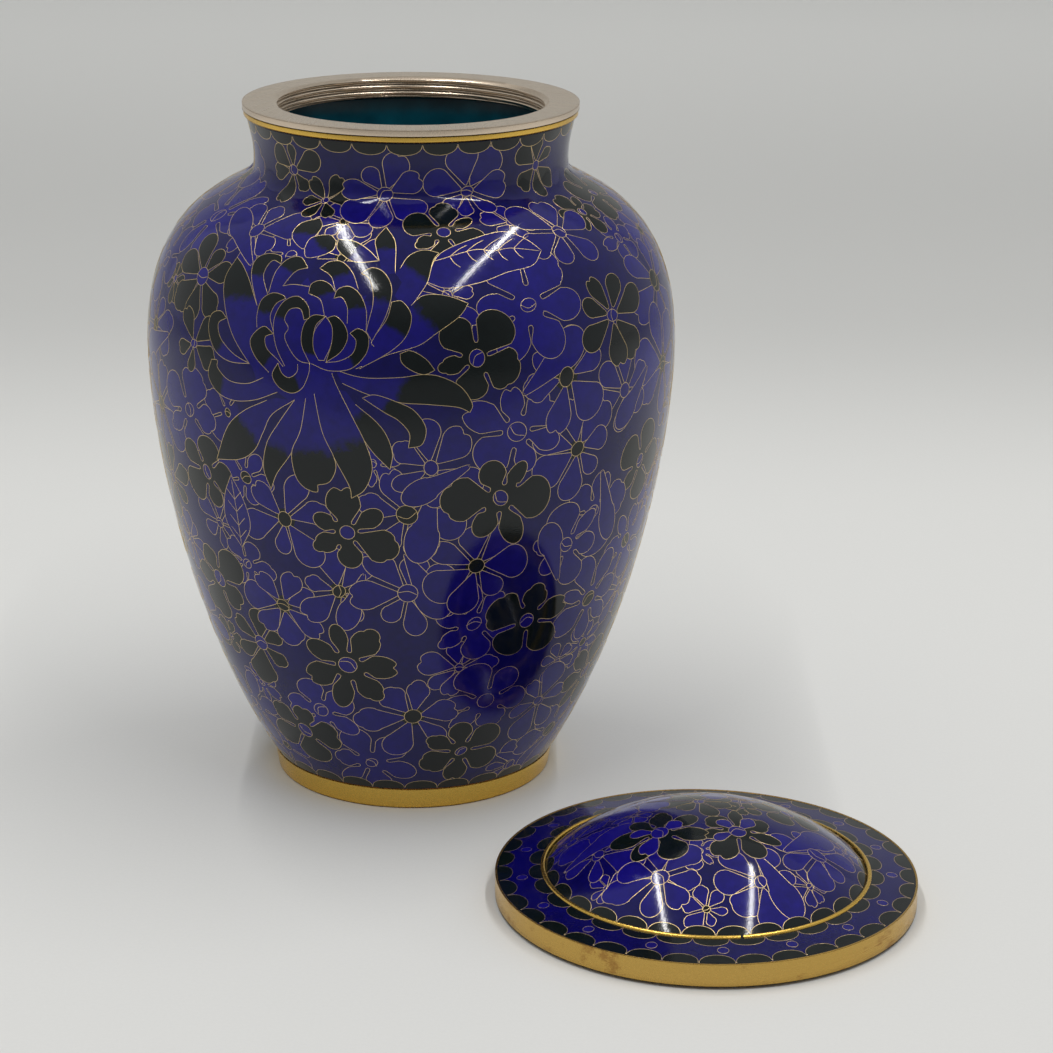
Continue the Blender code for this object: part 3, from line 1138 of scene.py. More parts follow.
def lathe_faces(lower: list[int], upper: list[int], whole: bool) -> list[tuple]:
    """Make the faces between two neighbouring rings, either of which may be one point.

    Args:
        lower: one ring's vertices.
        upper: the next ring's vertices.
        whole: whether the rings go all the way round.

    Returns:
        The faces.
    """
    count = max(len(lower), len(upper))
    faces = []
    for i in range(count if whole else count - 1):
        j = (i + 1) % count
        if len(lower) == 1 and len(upper) == 1:
            continue
        if len(lower) == 1:
            faces.append((lower[0], upper[j], upper[i]))
        elif len(upper) == 1:
            faces.append((lower[i], lower[j], upper[0]))
        else:
            faces.append((lower[i], lower[j], upper[j], upper[i]))
    return faces


def mesh_piece(name: str, vertices: list, faces: list, sharp: float = 32.0) -> Piece:
    """Make a mesh object, smooth but for its sharp edges, its faces turned outwards.

    Args:
        name: the new piece's name.
        vertices: its vertices.
        faces: its faces.
        sharp: the least bend of a sharp edge, in degrees.

    Returns:
        The new piece.
    """
    mesh = bpy.data.meshes.new(name)
    mesh.from_pydata(vertices, [], faces)
    mesh.update()
    if signed_volume(mesh) < 0:
        mesh.flip_normals()
    mesh.shade_smooth()
    mesh.set_sharp_from_angle(angle=math.radians(sharp))
    return bpy.data.objects.new(name, mesh)


def signed_volume(mesh: bpy.types.Mesh) -> float:
    """The volume a mesh holds, below zero when its faces look inwards."""
    total = 0.0
    points = [vertex.co for vertex in mesh.vertices]
    for polygon in mesh.polygons:
        first, *others = polygon.vertices
        for second, third in zip(others, others[1:]):
            total += points[first].dot(points[second].cross(points[third]))
    return total / 6


@dataclass
class ScrewRing:
    """A turned ring with a screw thread on one of its walls.

    The section lists its corners from the top of the threaded wall, round
    the plain walls, to its bottom; the threaded wall closes it.  The run-out
    is how many turns the thread takes to fade at each end.
    """

    axis: Pair
    section: list[Pair]
    thread_low: float
    thread_high: float
    crest: float
    root: float
    pitch: float = 2.0 * MM
    run_out: float = 0.25
    segments: int = 240
    rows_per_turn: int = 12
    sharp: float = 40.0

    def build(self, name: str) -> Piece:
        """Make the ring.

        Args:
            name: the new piece's name.

        Returns:
            The new piece.
        """
        plain = refined(np.array(self.section), False)
        height = self.thread_high - self.thread_low
        rows = int(self.rows_per_turn * height / self.pitch)
        vertices, faces = [], []
        count = len(plain) + rows
        for step in range(self.segments):
            bearing = math.tau * step / self.segments
            ring = [tuple(p) for p in plain]
            for row in range(rows):
                z = self.thread_low + height * (row + 0.5) / rows
                ring.append((self.wall(bearing, z), z))
            vertices += [(self.axis[0] + r * math.cos(bearing), self.axis[1] + r * math.sin(bearing), z)
                         for r, z in ring]
        for step in range(self.segments):
            here, there = step * count, ((step + 1) % self.segments) * count
            for i in range(count):
                j = (i + 1) % count
                faces.append((here + i, here + j, there + j, there + i))
        return mesh_piece(name, vertices, faces, self.sharp)

    def wall(self, bearing: float, z: float) -> float:
        """The threaded wall's radius at a bearing and a height."""
        turns = (z - self.thread_low) / self.pitch - bearing / math.tau
        phase = turns % 1.0
        tooth = 0.5 - 0.5 * math.cos(math.tau * phase)
        whole = (self.thread_high - self.thread_low) / self.pitch
        edge = min(turns + 1.0, whole - turns) / self.run_out
        return self.root + (self.crest - self.root) * tooth * min(max(edge, 0.0), 1.0)


# -------------------- flowers and borders


class Edge(Enum):
    """The outer edge of a petal."""

    ROUND = "round"
    NOTCHED = "notched"
    FRILLED = "frilled"

    def swell(self, angle: Points) -> Points:
        """How far the edge reaches at angles from the petal's own direction."""
        if self is Edge.NOTCHED:
            return 1.05 - 0.30 * np.exp(-(angle / 0.26) ** 2)
        if self is Edge.FRILLED:
            return 0.86 + 0.19 * np.sqrt(np.abs(np.cos(1.9 * angle)))
        return np.ones_like(angle)


class Petals(Enum):
    """How a flower's petals meet: each closed by its wire, or open to the middle."""

    CLOSED = "closed"
    OPEN = "open"


@dataclass(frozen=True)
class Flower:
    """One small flower: where it is (degrees, mm), its size and its kind."""

    azimuth: float
    along: float
    radius: float
    petals: int = 5
    dark: bool = False
    kind: Petals = Petals.OPEN
    dark_core: bool = False
    turn: float = 0.0
    blue_heart: bool = False


class FlowerPainter:
    """Draws flowers, each a little different.

    The sizes are shares of a flower's radius; one with no more than the small
    radius, in millimetres, has no passing petals.
    """

    dark_size: float = 1.02
    blue_size: float = 1.22
    small_radius: float = 9

    def __init__(self, surface: Round, seed: int) -> None:
        """Start with nothing drawn."""
        self.surface = surface
        self.random = random.Random(seed)

    def flower(self, flower: Flower) -> list[Item]:
        """Draw one flower.

        Args:
            flower: where and what it is.

        Returns:
            Its items, the top one first.
        """
        rnd = self.random
        size = (self.dark_size if flower.dark else self.blue_size) * flower.radius * MM
        fill = Fill.DARK if flower.dark else Fill.BLUE
        chance = rnd.random()
        shapes = self._centre(size * rnd.uniform(0.14, 0.19), flower)
        if flower.radius > self.small_radius and not flower.dark:
            shapes += [(petal, fill, True) for petal in passing_petals(rnd, size)]
        if flower.blue_heart:
            hearts = closed_petals(rnd, 0.72 * size, 5)[:3]
            shapes += [(petal, Fill.BLUE, True) for petal in hearts]
        if flower.kind is Petals.OPEN:
            shapes.append((open_bloom(rnd, size, flower.petals), fill, True))
        else:
            shapes += [(petal, fill, True) for petal in closed_petals(rnd, size, flower.petals + 1)]
        items = [self._item(flower, points, shape_fill, is_closed, chance)
                 for points, shape_fill, is_closed in shapes]
        if flower.dark_core:
            items.append(self._item(flower, circle(0.22 * size), Fill.DARK, True, chance))
            items[-1].wired = False
        return items

    def _item(self, flower: Flower, points: Points, fill: Fill | None, closed: bool, chance: float) -> Item:
        """One shape of a flower, put in its place on the surface."""
        placed = self.surface.draw(math.radians(flower.azimuth), flower.along * MM,
                                   math.radians(flower.turn), points)
        return Item(placed, fill, closed=closed, chance=chance)

    def _centre(self, radius: float, flower: Flower) -> list[tuple]:
        """A flower's middle: a small circle with a slash or a curl in it."""
        rnd = self.random
        stretch = np.array([1.0, rnd.uniform(0.75, 1.15)])
        ring = rotate(circle(radius) * stretch, rnd.uniform(0, math.tau))
        bend = rnd.uniform(0.15, 0.5) * radius
        slash = through([(-0.95 * radius, 0.0), (0.0, -bend), (0.95 * radius, 0.15 * radius)], 0.4 * MM)
        slash = rotate(slash, rnd.uniform(0, math.tau))
        core = Fill.DARK if flower.dark_core else Fill.BLUE
        shapes = [(slash, None, False)] if rnd.random() < 0.75 else []
        return shapes + [(ring, core, True)]


def open_bloom(rnd: random.Random, size: float, petals: int) -> Points:
    """Draw a bloom whose petals run together in the middle.

    Args:
        rnd: where its chances come from.
        size: its radius.
        petals: how many it has.

    Returns:
        Its outline.
    """
    cuts = np.arange(petals) + np.array([rnd.uniform(-0.2, 0.2) for _ in range(petals)])
    cuts = np.append(cuts, cuts[0] + petals) * math.tau / petals
    clefts = [size * rnd.uniform(0.27, 0.40) for _ in range(petals)]
    gap = 0.045 * size
    rings = []
    for number, (start, end) in enumerate(zip(cuts, cuts[1:])):
        reach = size * rnd.uniform(0.78, 1.12)
        middle = reach * rnd.uniform(0.62, 0.70)
        half = min(middle * math.tan((end - start) / 2) * rnd.uniform(0.70, 0.86), 0.44 * reach)
        edge = rnd.choice((Edge.ROUND, Edge.ROUND, Edge.NOTCHED, Edge.FRILLED))
        angle = np.radians(np.linspace(-108, 108, 19))
        swell = edge.swell(angle)
        knots = np.column_stack([middle + (reach - middle) * swell * np.cos(angle),
                                 half * swell * np.sin(angle)])
        roots = []
        for side, cleft in ((-1, clefts[number]), (1, clefts[(number + 1) % petals])):
            along = np.array([math.cos((end - start) / 2), side * math.sin((end - start) / 2)])
            across = np.array([along[1], -along[0]]) * side
            roots.append([(cleft - gap) * along, cleft * along + gap * across])
        knots = np.vstack([roots[0], knots, roots[1][::-1]])
        lobe = through([tuple(p) for p in knots], LINE_STEP)[:-1]
        rings.append(rotate(lobe, (start + end) / 2))
    return np.vstack(rings)


def passing_petals(rnd: random.Random, size: float) -> list[Points]:
    """Draw the long petals that pass beside a flower's middle; often there are none.

    Args:
        rnd: where their chances come from.
        size: the flower's radius.

    Returns:
        Their outlines.
    """
    outlines = []
    for side in rnd.choice(((), (), (1,))):
        length = size * rnd.uniform(1.45, 1.85)
        angle = np.radians(np.linspace(-135, 135, 15))
        knots = np.column_stack([0.70 * length + 0.30 * length * np.cos(angle),
                                 rnd.uniform(0.26, 0.34) * size * np.sin(angle)])
        root = [(0.0, 0.0), (0.0, -0.05 * size)]
        petal = through(root + [tuple(p) for p in knots] + [(0.0, 0.05 * size), (0.0, 0.0)], LINE_STEP)[:-1]
        petal[:, 0] -= size * rnd.uniform(0.62, 0.82)
        petal[:, 1] += side * size * rnd.uniform(0.30, 0.40)
        outlines.append(rotate(petal, rnd.uniform(0, math.tau)))
    return outlines


def closed_petals(rnd: random.Random, size: float, petals: int) -> list[Points]:
    """Draw separate petals round a middle, some notched, some long.

    Args:
        rnd: where their chances come from.
        size: the flower's radius.
        petals: how many there are.

    Returns:
        Their outlines.
    """
    outlines = []
    for number in range(petals):
        angle = math.tau * (number + rnd.uniform(-0.15, 0.15)) / petals
        reach = size * rnd.uniform(0.74, 1.20)
        start = 0.17 * size
        length = reach - start
        half = min(length * rnd.uniform(0.26, 0.42), 0.86 * reach * math.sin(math.pi / petals))
        edge = rnd.choice((Edge.ROUND, Edge.ROUND, Edge.NOTCHED, Edge.FRILLED))
        turn = np.radians(np.linspace(-125, 125, 21))
        swell = edge.swell(turn)
        middle = reach - 0.34 * length
        knots = np.column_stack([middle + 0.34 * length * swell * np.cos(turn), half * swell * np.sin(turn)])
        knots[:, 1] += rnd.uniform(-0.10, 0.10) * length * ((knots[:, 0] - start) / length) ** 2
        root = 0.035 * size
        knots = [(start, 0.0), (start, -root)] + [tuple(p) for p in knots] + [(start, root), (start, 0.0)]
        petal = through(knots, LINE_STEP)[:-1]
        outlines.append(rotate(petal, angle))
    rnd.shuffle(outlines)
    return outlines


def scallops(surface: Round, along: float, count: int, depth: float, outward: bool,
             fill: Fill, first: float = 0.0, fullness: float = 0.98) -> list[Item]:
    """A row of half-round cells along an edge.

    Args:
        surface: what they are drawn on.
        along: the edge they stand on.
        count: how many go round.
        depth: how far each reaches from the edge.
        outward: whether they reach to larger distances along the outline.
        fill: what they hold.
        first: the azimuth of the first one, in degrees.
        fullness: each one's width, as a share of its room.

    Returns:
        The cells.
    """
    room = math.tau / count
    radius = float(surface.at(surface.radius, along))
    half = room * radius / 2 * fullness
    u = np.linspace(0, 1, 26)
    x = -half * np.cos(math.pi * u)
    y = depth * np.sin(math.pi * u) ** 0.75
    heights = along + (y if outward else -y)
    items = []
    for number in range(count):
        azimuth = math.radians(first) + number * room + x / radius
        items.append(Item(surface.to_plan(azimuth, heights), fill))
    return items


def small_rings(surface: Round, along: float, count: int, radius: float, first: float) -> list[Item]:
    """Small rings spaced round a band.

    Args:
        surface: what they are drawn on.
        along: their distance along the outline.
        count: how many go round.
        radius: each one's radius.
        first: the azimuth of the first one, in degrees.

    Returns:
        The rings.
    """
    items = []
    for number in range(count):
        azimuth = math.radians(first) + math.tau * number / count
        items.append(Item(surface.draw(azimuth, along, 0.0, circle(radius, 0.35 * MM)), Fill.BLUE))
    return items


# -------------------- the great bloom


@dataclass(frozen=True)
class Petal:
    """One petal of the great bloom, drawn in millimetres from its base.

    The corners are the points where its outline turns sharply; blue and dark
    are the places between which the enamel changes, if it does.  The bare
    strokes, counted from the first corner, carry no wire.
    """

    points: tuple[Pair, ...]
    corners: tuple[int, ...] = (0,)
    blue: Pair | None = None
    dark: Pair | None = None
    fill: Fill = Fill.BLUE
    bare: tuple[int, ...] = ()
    wired: bool = True

    def strokes(self, mirror: bool) -> list[Points]:
        """The smooth strokes of its outline, from corner to corner, in metres."""
        knots = [(-x * MM if mirror else x * MM, y * MM) for x, y in self.points]
        marks = sorted(self.corners)
        strokes = []
        for start, end in zip(marks, marks[1:] + [marks[0] + len(knots)]):
            stroke = [knots[i % len(knots)] for i in range(start, end + 1)]
            strokes.append(through(stroke, 0.55 * MM))
        return strokes

    def outline(self, mirror: bool) -> Points:
        """Its closed outline, in metres."""
        return np.vstack([stroke[:-1] for stroke in self.strokes(mirror)])


# The petals of the great bloom, those in front first.
BLOOM_PETALS = (
    # the closed bud in the middle
    Petal(((2.7, 1.2), (0.9, 4.5), (0.9, 9.5), (3.8, 14), (6.1, 11), (6.3, 6), (4.4, 1.2)), (0, 3, 6)),
    Petal(((0, 0), (-2.9, 5.5), (-2.6, 11), (0, 14), (3.8, 14), (1.1, 11), (0.8, 6), (2.7, 1.2)), (0, 4, 7),
          (-1, 1), (-1, 5), bare=(2,)),
    Petal(((4.4, 13.6), (7, 14.2), (10, 11.5), (11, 8), (9.2, 4), (5, 0.8), (6.3, 6), (6.2, 10.5)), (0, 5),
          (6, -2), (8, 3)),
    Petal(((-8, -1.5), (-11, 3.5), (-12.5, 9), (-12, 13.5), (-9.5, 17.5), (-5.5, 19), (-2, 16.5), (-1, 13),
           (-2.7, 12.4), (-4.3, 15.4), (-7.6, 15), (-9, 12), (-7.5, 9.5), (-8.5, 7), (-6.4, 3.3), (-3.4, 0.5),
           (0, 0)), (0, 7, 8, 16), (-9, 8), (-8, 15), bare=(3,)),
    # hooked petals round it
    Petal(((0.5, 0), (6, -1.6), (12.5, -0.6), (16.8, 4), (17, 9), (14, 11), (11.6, 9.6), (13.6, 7.4),
           (12.8, 3.8), (9.2, 1.5), (4.9, 0.7)), (0, 6, 10), (9, 0), (14.5, 6), bare=(2,)),
    Petal(((-3.9, 0.7), (-3.9, -2.7), (-6.4, -4.8), (-8.8, -3.8), (-10.3, -1), (-12.1, -4.7), (-9.7, -8.1),
           (-5.5, -9.3), (-2.1, -7.3), (-0.2, -2.9), (0, 0)), (0, 4, 10), (-2, -4), (-6.5, -6), bare=(2,)),
    Petal(((-13.3, -4.1), (-18.5, 0.2), (-20.2, 4.8), (-16, 9), (-12.3, 7.4), (-15, 6), (-14.2, 2.8),
           (-10.4, 0), (-8.5, -1.8)), (0, 4, 8), (-11.5, -1.5), (-14.5, 1), bare=(2,)),
    Petal(((10.5, 12.4), (9.9, 17), (7.8, 19.8), (5.5, 19.4), (6.3, 22.2), (9.5, 23.2), (13, 21), (15.6, 16.3),
           (16.3, 10.3), (13.5, 11)), (0, 3, 8), (11, 14), (10, 20), bare=(2,)),
    Petal(((3.5, 14), (1.5, 18.6), (-2.5, 20.2), (-2.2, 23), (0.4, 24.4), (3.5, 23.5), (5.5, 21.4),
           (5.5, 19.4), (9.5, 18), (10, 13), (7, 14.5)), (0, 2, 6), (3, 17), (0, 22), bare=(2,)),
    Petal(((-12.5, 8.3), (-13.9, 12.2), (-12.5, 16), (-9.5, 18), (-10.9, 18.9), (-14.4, 19), (-17.7, 16.5),
           (-18.6, 12.1), (-18.2, 8.5), (-15, 8)), (0, 3, 8), (-15.5, 10), (-15, 16), bare=(2,)),
    Petal(((16.3, 10.4), (17.2, 19), (15, 25.5), (12, 27.5), (15, 29.4), (19, 27.6), (22, 22.5), (21.5, 15),
           (18.2, 7.5)), (0, 3, 8), (18, 15), (19, 24)),
    # outer hooked petals
    Petal(((5.7, 21.3), (3.4, 25.8), (-0.7, 28.2), (1.7, 30.5), (5.5, 30.8), (9.5, 27.5), (12.3, 22.5),
           (9, 18)), (0, 2, 6), (7, 23), (4, 29), bare=(2,)),
    Petal(((-15.6, 18.9), (-14.6, 25.5), (-11.6, 30), (-7.6, 31.1), (-4.4, 28), (-8.1, 26.3), (-11.2, 21.5),
           (-7.7, 22.4), (-2.4, 22.2), (-3, 16)), (0, 4, 6, 8), (-11, 24), (-9, 29), bare=(3,)),
    Petal(((-19, 14.7), (-23, 23.2), (-22.8, 28.3), (-18.9, 30.8), (-14.3, 30.6), (-13.5, 28.2), (-16.8, 28.7),
           (-18.6, 24), (-15.9, 18.5), (-17.5, 16)), (0, 5, 8), (-19, 21), (-19, 27), bare=(2,)),
    Petal(((18.9, 6.1), (18.2, 7.8), (21.8, 14), (22.6, 19.1), (25.6, 19.2), (28.8, 15), (28, 9.3),
           (23.7, 4.7), (15.1, -0.5)), (0, 3, 8), (23, 8), (26, 14), bare=(2,)),
    Petal(((-10.3, -9.6), (-18.5, -13.1), (-26.7, -14.5), (-33.3, -13), (-37, -8.7), (-35.6, -3.7),
           (-33, -3.6), (-32.8, -5.8), (-28, -8.7), (-21, -8.5), (-15.2, -5.9)), (0, 5, 10), (-27, -11),
          (-34, -9), bare=(2,)),
    Petal(((-20.1, -2.5), (-28, -3), (-34.1, -0.8), (-37.4, 4.5), (-36.8, 9.3), (-33, 11), (-30.1, 9.4),
           (-33.3, 7.3), (-32, 3.3), (-26.6, -0.4)), (0, 6), (-29, -1.5), (-35, 3)),
    Petal(((-20.3, -2.5), (-27, 4.7), (-31.4, 12.8), (-33.3, 20.5), (-30.4, 27.7), (-27, 25.5), (-23.3, 21.5),
           (-19, 14.7), (-18, 9), (-19, 3), (-15, -2)), (0, 4, 7), (-28, 10), (-29.5, 21), bare=(2,)),
    # what lies between the middle petals
    Petal(((-18, -8), (-19, 8), (-14, 20), (0, 24), (12, 22), (20, 12), (18, 2), (6, -3), (-2, -11)),
          wired=False),
    # the long petals below
    Petal(((1.5, -8.5), (3.8, -20), (7, -27.5), (7.4, -31.6), (5.2, -35.7), (1.5, -37), (1.1, -39.3),
           (-2.8, -38.3), (-5.5, -34.7), (-6.2, -27.4), (-2.9, -19.8), (-0.7, -8)), (0, 5, 11),
          (1, -19), (0, -33), bare=(2,)),
    Petal(((5.7, 2.3), (7.5, -3.8), (12.6, -14), (16.6, -22.5), (18.4, -30.3), (15.9, -37.2), (11.7, -40.4),
           (11.2, -36.4), (7.3, -28.2), (3.8, -20.2), (1.5, -10.7), (1, -3)), (0, 6, 11), (9, -14), (14, -32),
          bare=(2,)),
    Petal(((-4.7, -11.3), (-9.9, -18.5), (-14.6, -25.8), (-16.3, -34), (-14.2, -40.5), (-11.7, -35),
           (-6.2, -27.4), (-2.3, -18.1), (-0.7, -10.9)), (0, 4, 8), (-8, -19), (-13, -33), bare=(2,)),
    Petal(((-14, -12.5), (-22.6, -17.1), (-29.4, -23.3), (-35.2, -34.8), (-25.1, -32.7), (-19.3, -28.8),
           (-15.7, -22.6), (-12.3, -16.6), (-4.8, -11.3)), (0, 3, 8), (-17, -17), (-27, -27), bare=(2,)),
    Petal(((8, -5), (13.1, -14.9), (15.6, -20.5), (19.1, -25.8), (23.6, -30.7), (24.5, -25.7), (23, -20.2),
           (19.9, -15.9), (14, -11)), (0, 4, 8), (11, -11), (17, -19), bare=(2,)),
    Petal(((16, -9), (20, -8), (27, -10.3), (31.3, -12.7), (34.4, -17.7), (33.2, -22.8), (29.2, -23.9),
           (29.6, -19.4), (26.5, -15.5), (22.6, -13.2)), (0, 6), (18, -9), (27, -14), Fill.DARK),
    # the petals to the right
    Petal(((26.6, 4.2), (29.7, 5), (34.1, 2.6), (36.9, -0.7), (33.8, -1.9), (30, -0.6), (27.2, 1.6)), (0, 3),
          fill=Fill.DARK),
    Petal(((7, -1), (16, -3), (26.9, -2.7), (33.2, -1.9), (38.6, -2.6), (44.6, -5.8), (48, -10.9),
           (47.4, -13.6), (43.6, -11.8), (35, -10.7), (27, -10.1), (18, -8), (10, -5)), (0, 7, 12), (22, -5),
          (32, -7), bare=(2,)),
    Petal(((14, -0.6), (22, 3), (27.5, 10), (28.3, 18.1), (31, 20.8), (35.2, 21.2), (39.7, 20.3), (44.9, 18.2),
           (42.7, 14.5), (36.7, 10), (31.7, 6.5), (22.7, 3.6)), (0, 1, 3, 7), (30, 10), (38, 17), bare=(0, 1)),
    Petal(((22.9, 29.3), (24.5, 33.7), (28.2, 35.6), (32.8, 34.5), (31.9, 31.7), (31.8, 25.2), (30, 20.8),
           (28.6, 17.5), (24, 20)), (0, 3, 7), (26, 25), (29, 31), bare=(2,)),
    # the small leaves above
    Petal(((16.3, 31.7), (14.5, 35.4), (13.1, 39.4), (14.5, 44.6), (19.2, 38.2), (21.9, 27.8), (19, 28)),
          (0, 3, 5), (18, 32), (15, 39), bare=(2,)),
    Petal(((16.3, 31.7), (9.1, 31.1), (3.2, 34.7), (2, 38.6), (7, 38.3), (12, 35.5)), (0, 3), (12, 32),
          (5, 36)),
    Petal(((1.7, 37.9), (1.6, 34.5), (-2, 32), (-5.9, 31.3), (-7.4, 34.2), (-6.4, 38.3), (-1.2, 40)), (0, 4),
          (-4, 33), (0, 38)),
    Petal(((-6, 37), (-4.6, 42.9), (-6.6, 46.6), (-12, 43.3), (-13, 38), (-8, 34)), (0, 2), (-9, 36),
          (-9, 43)),
    # the ground that shows between the outer petals
    Petal(((-31, -8), (-30, 10), (-25, 24), (-14, 30), (5, 31), (21, 30), (28, 16), (30, 2), (26, -13),
           (19, -24), (0, -32), (-18, -25)), fill=Fill.GROUND, wired=False),
)
BROAD_LEAF = Petal(((31.8, 24.9), (32.2, 31.7), (34.8, 35.6), (43, 39.6), (50.8, 40.9), (59.2, 37.1),
                    (65.7, 32.4), (63.5, 28.1), (55.3, 26.7), (47.7, 24.3), (38, 23)), (0, 6))
BROAD_LEAF_RIB = ((32.2, 31.7), (42.9, 35), (49, 34.1), (54.8, 34.5), (65, 32.4))


@dataclass
class GreatBloom:
    """The large many-petalled bloom and its broad leaf, placed in degrees and millimetres."""

    surface: Round
    azimuth: float = -19.0
    along: float = 152.7
    mirror: bool = False
    vein_count: int = 5
    vein_length: float = 5.2 * MM

    def items(self) -> list[Item]:
        """All its shapes, the top one first."""
        return [self._petal(petal) for petal in BLOOM_PETALS] + self._leaf()

    def _place(self, points: Points) -> Points:
        """Plan points for a shape given from the bloom's base."""
        return self.surface.draw(math.radians(self.azimuth), self.along * MM, 0.0, points)

    def _spot(self, spot: Pair) -> Points:
        """The plan point of one place given in millimetres."""
        x = -spot[0] if self.mirror else spot[0]
        return self._place(np.array([[x * MM, spot[1] * MM]]))[0]

    def _petal(self, petal: Petal) -> Item:
        """One petal as an item of the drawing."""
        fade = None
        if petal.blue is not None:
            fade = (self._spot(petal.blue), self._spot(petal.dark))
        lines = None
        if petal.bare:
            lines = tuple(self._place(stroke) for number, stroke in enumerate(petal.strokes(self.mirror))
                          if number not in petal.bare)
        return Item(self._place(petal.outline(self.mirror)), petal.fill, petal.wired, fade=fade, lines=lines)

    def _leaf(self) -> list[Item]:
        """The broad leaf with its rib and side veins."""
        side = -1 if self.mirror else 1
        rib = through([(side * x * MM, y * MM) for x, y in BROAD_LEAF_RIB], RIB_STEP)
        made = [Item(self._place(rib), closed=False)]
        for number in range(self.vein_count):
            start = rib[int(len(rib) * (0.12 + 0.15 * number))]
            for up in (1, -1):
                end = start + np.array([side * 0.8 * self.vein_length, up * 0.72 * self.vein_length])
                bend = (start + end) / 2 + np.array([0.0, up * 0.5 * MM])
                vein = through([tuple(start), tuple(bend), tuple(end)], RIB_STEP)
                made.append(Item(self._place(vein), closed=False))
        made.append(Item(self._place(BROAD_LEAF.outline(self.mirror)), Fill.BLUE, chance=0.3))
        return made


def upright_leaf(surface: Round, azimuth: float, along: float, length: float, turn: float) -> list[Item]:
    """Draw a pointed leaf with a rib and side veins.

    Args:
        surface: what it is drawn on.
        azimuth: where its stalk end is, in degrees.
        along: its stalk end's distance along the outline, in millimetres.
        length: how long it is, in millimetres.
        turn: how far it is turned, in degrees.

    Returns:
        Its items, the top one first.
    """
    half = 0.21 * length
    knots = [(0, 0), (half, 0.33 * length), (0.8 * half, 0.68 * length), (0, length),
             (-0.8 * half, 0.68 * length), (-half, 0.33 * length)]
    leaf = Petal(tuple(knots), (0, 3))
    rib = through([(0, 0.04 * length * MM), (0.3 * MM, 0.5 * length * MM), (0, 0.93 * length * MM)], RIB_STEP)
    shapes = [(rib, None)]
    for number in range(4):
        start = rib[int(len(rib) * (0.12 + 0.19 * number))]
        for side in (1, -1):
            end = start + np.array([side * 0.62 * half * MM, 0.13 * length * MM])
            shapes.append((through([tuple(start), tuple(end)], RIB_STEP), None))
    shapes.append((leaf.outline(False), Fill.BLUE))
    return [Item(surface.draw(math.radians(azimuth), along * MM, math.radians(turn), points), fill,
                 closed=fill is not None) for points, fill in shapes]


# -------------------- where the flowers are


# The flowers seen from the front, those in front first.
FRONT_FLOWERS = (
    Flower(15.5, 155, 13.5, 5, True, turn=15),
    Flower(-12, 101, 14, 6, True, turn=10),
    Flower(21, 111.5, 16, 6, True, turn=25),
    Flower(50, 161.5, 16, 6, True, Petals.CLOSED, turn=8),
    Flower(-15, 53.5, 16, 7, True, turn=20),
    Flower(31, 67.5, 14.5, 5, True, turn=50),
    Flower(18, 17.5, 14, 6, True, turn=0),
    Flower(-35, 22.5, 13, 5, True, turn=30),
    Flower(-52, 75, 14, 5, True, turn=5),
    Flower(-48, 112.5, 13, 5, True, turn=40),
    Flower(-50, 152, 10.5, 4, True, Petals.CLOSED, turn=45),
    Flower(-52, 172, 13.5, 6, True, Petals.CLOSED, turn=15),
    Flower(11, 195, 12.5, 6, True, turn=0),
    Flower(-7, 210.5, 10.5, 6, False, Petals.CLOSED, turn=20),
    Flower(22, 211, 10.5, 6, False, Petals.CLOSED, turn=5),
    Flower(-28, 207, 8, 5, True, Petals.CLOSED, turn=10),
    Flower(-42.5, 190.5, 12, 6, False, Petals.CLOSED, turn=25),
    Flower(44.5, 190.5, 12, 5, False, Petals.CLOSED, turn=12),
    Flower(28, 169, 14, 6, False, turn=28),
    Flower(35.5, 146.5, 14.5, 5, False, Petals.CLOSED, True, 18),
    Flower(24, 132, 13.5, 6, False, turn=10),
    Flower(6, 122.5, 12, 5, False, Petals.CLOSED, turn=35),
    Flower(39, 123.5, 12.5, 6, False, Petals.CLOSED, True, 5),
    Flower(52.5, 138, 12, 5, False, Petals.CLOSED, turn=22),
    Flower(1, 107.5, 13, 5, False, Petals.CLOSED, True, 54),
    Flower(-26.5, 103, 12, 5, False, Petals.CLOSED, True, 12),
    Flower(-52, 131, 12, 5, False, turn=33),
    Flower(39, 92, 12, 6, False, turn=15),
    Flower(16.5, 89.5, 12.5, 6, False, Petals.CLOSED, True, 0),
    Flower(1, 81, 13, 6, False, Petals.CLOSED, turn=30),
    Flower(-15, 80.5, 11.5, 5, False, Petals.CLOSED, True, 44),
    Flower(-30.5, 72.5, 12.5, 6, False, Petals.CLOSED, True, 20),
    Flower(46, 101, 12, 5, False, turn=40),
    Flower(17, 69, 12, 6, False, turn=8),
    Flower(2, 34, 13, 5, False, Petals.CLOSED, True, 16),
    Flower(23, 38.5, 12.5, 6, False, turn=26),
    Flower(-26, 33.5, 12, 5, False, turn=0),
    Flower(-12.5, 12.5, 12, 6, False, turn=14),
    Flower(-44, 215, 10, 5, True, Petals.CLOSED, turn=20),
    Flower(52, 216, 10, 5, True, Petals.CLOSED, turn=30),
)


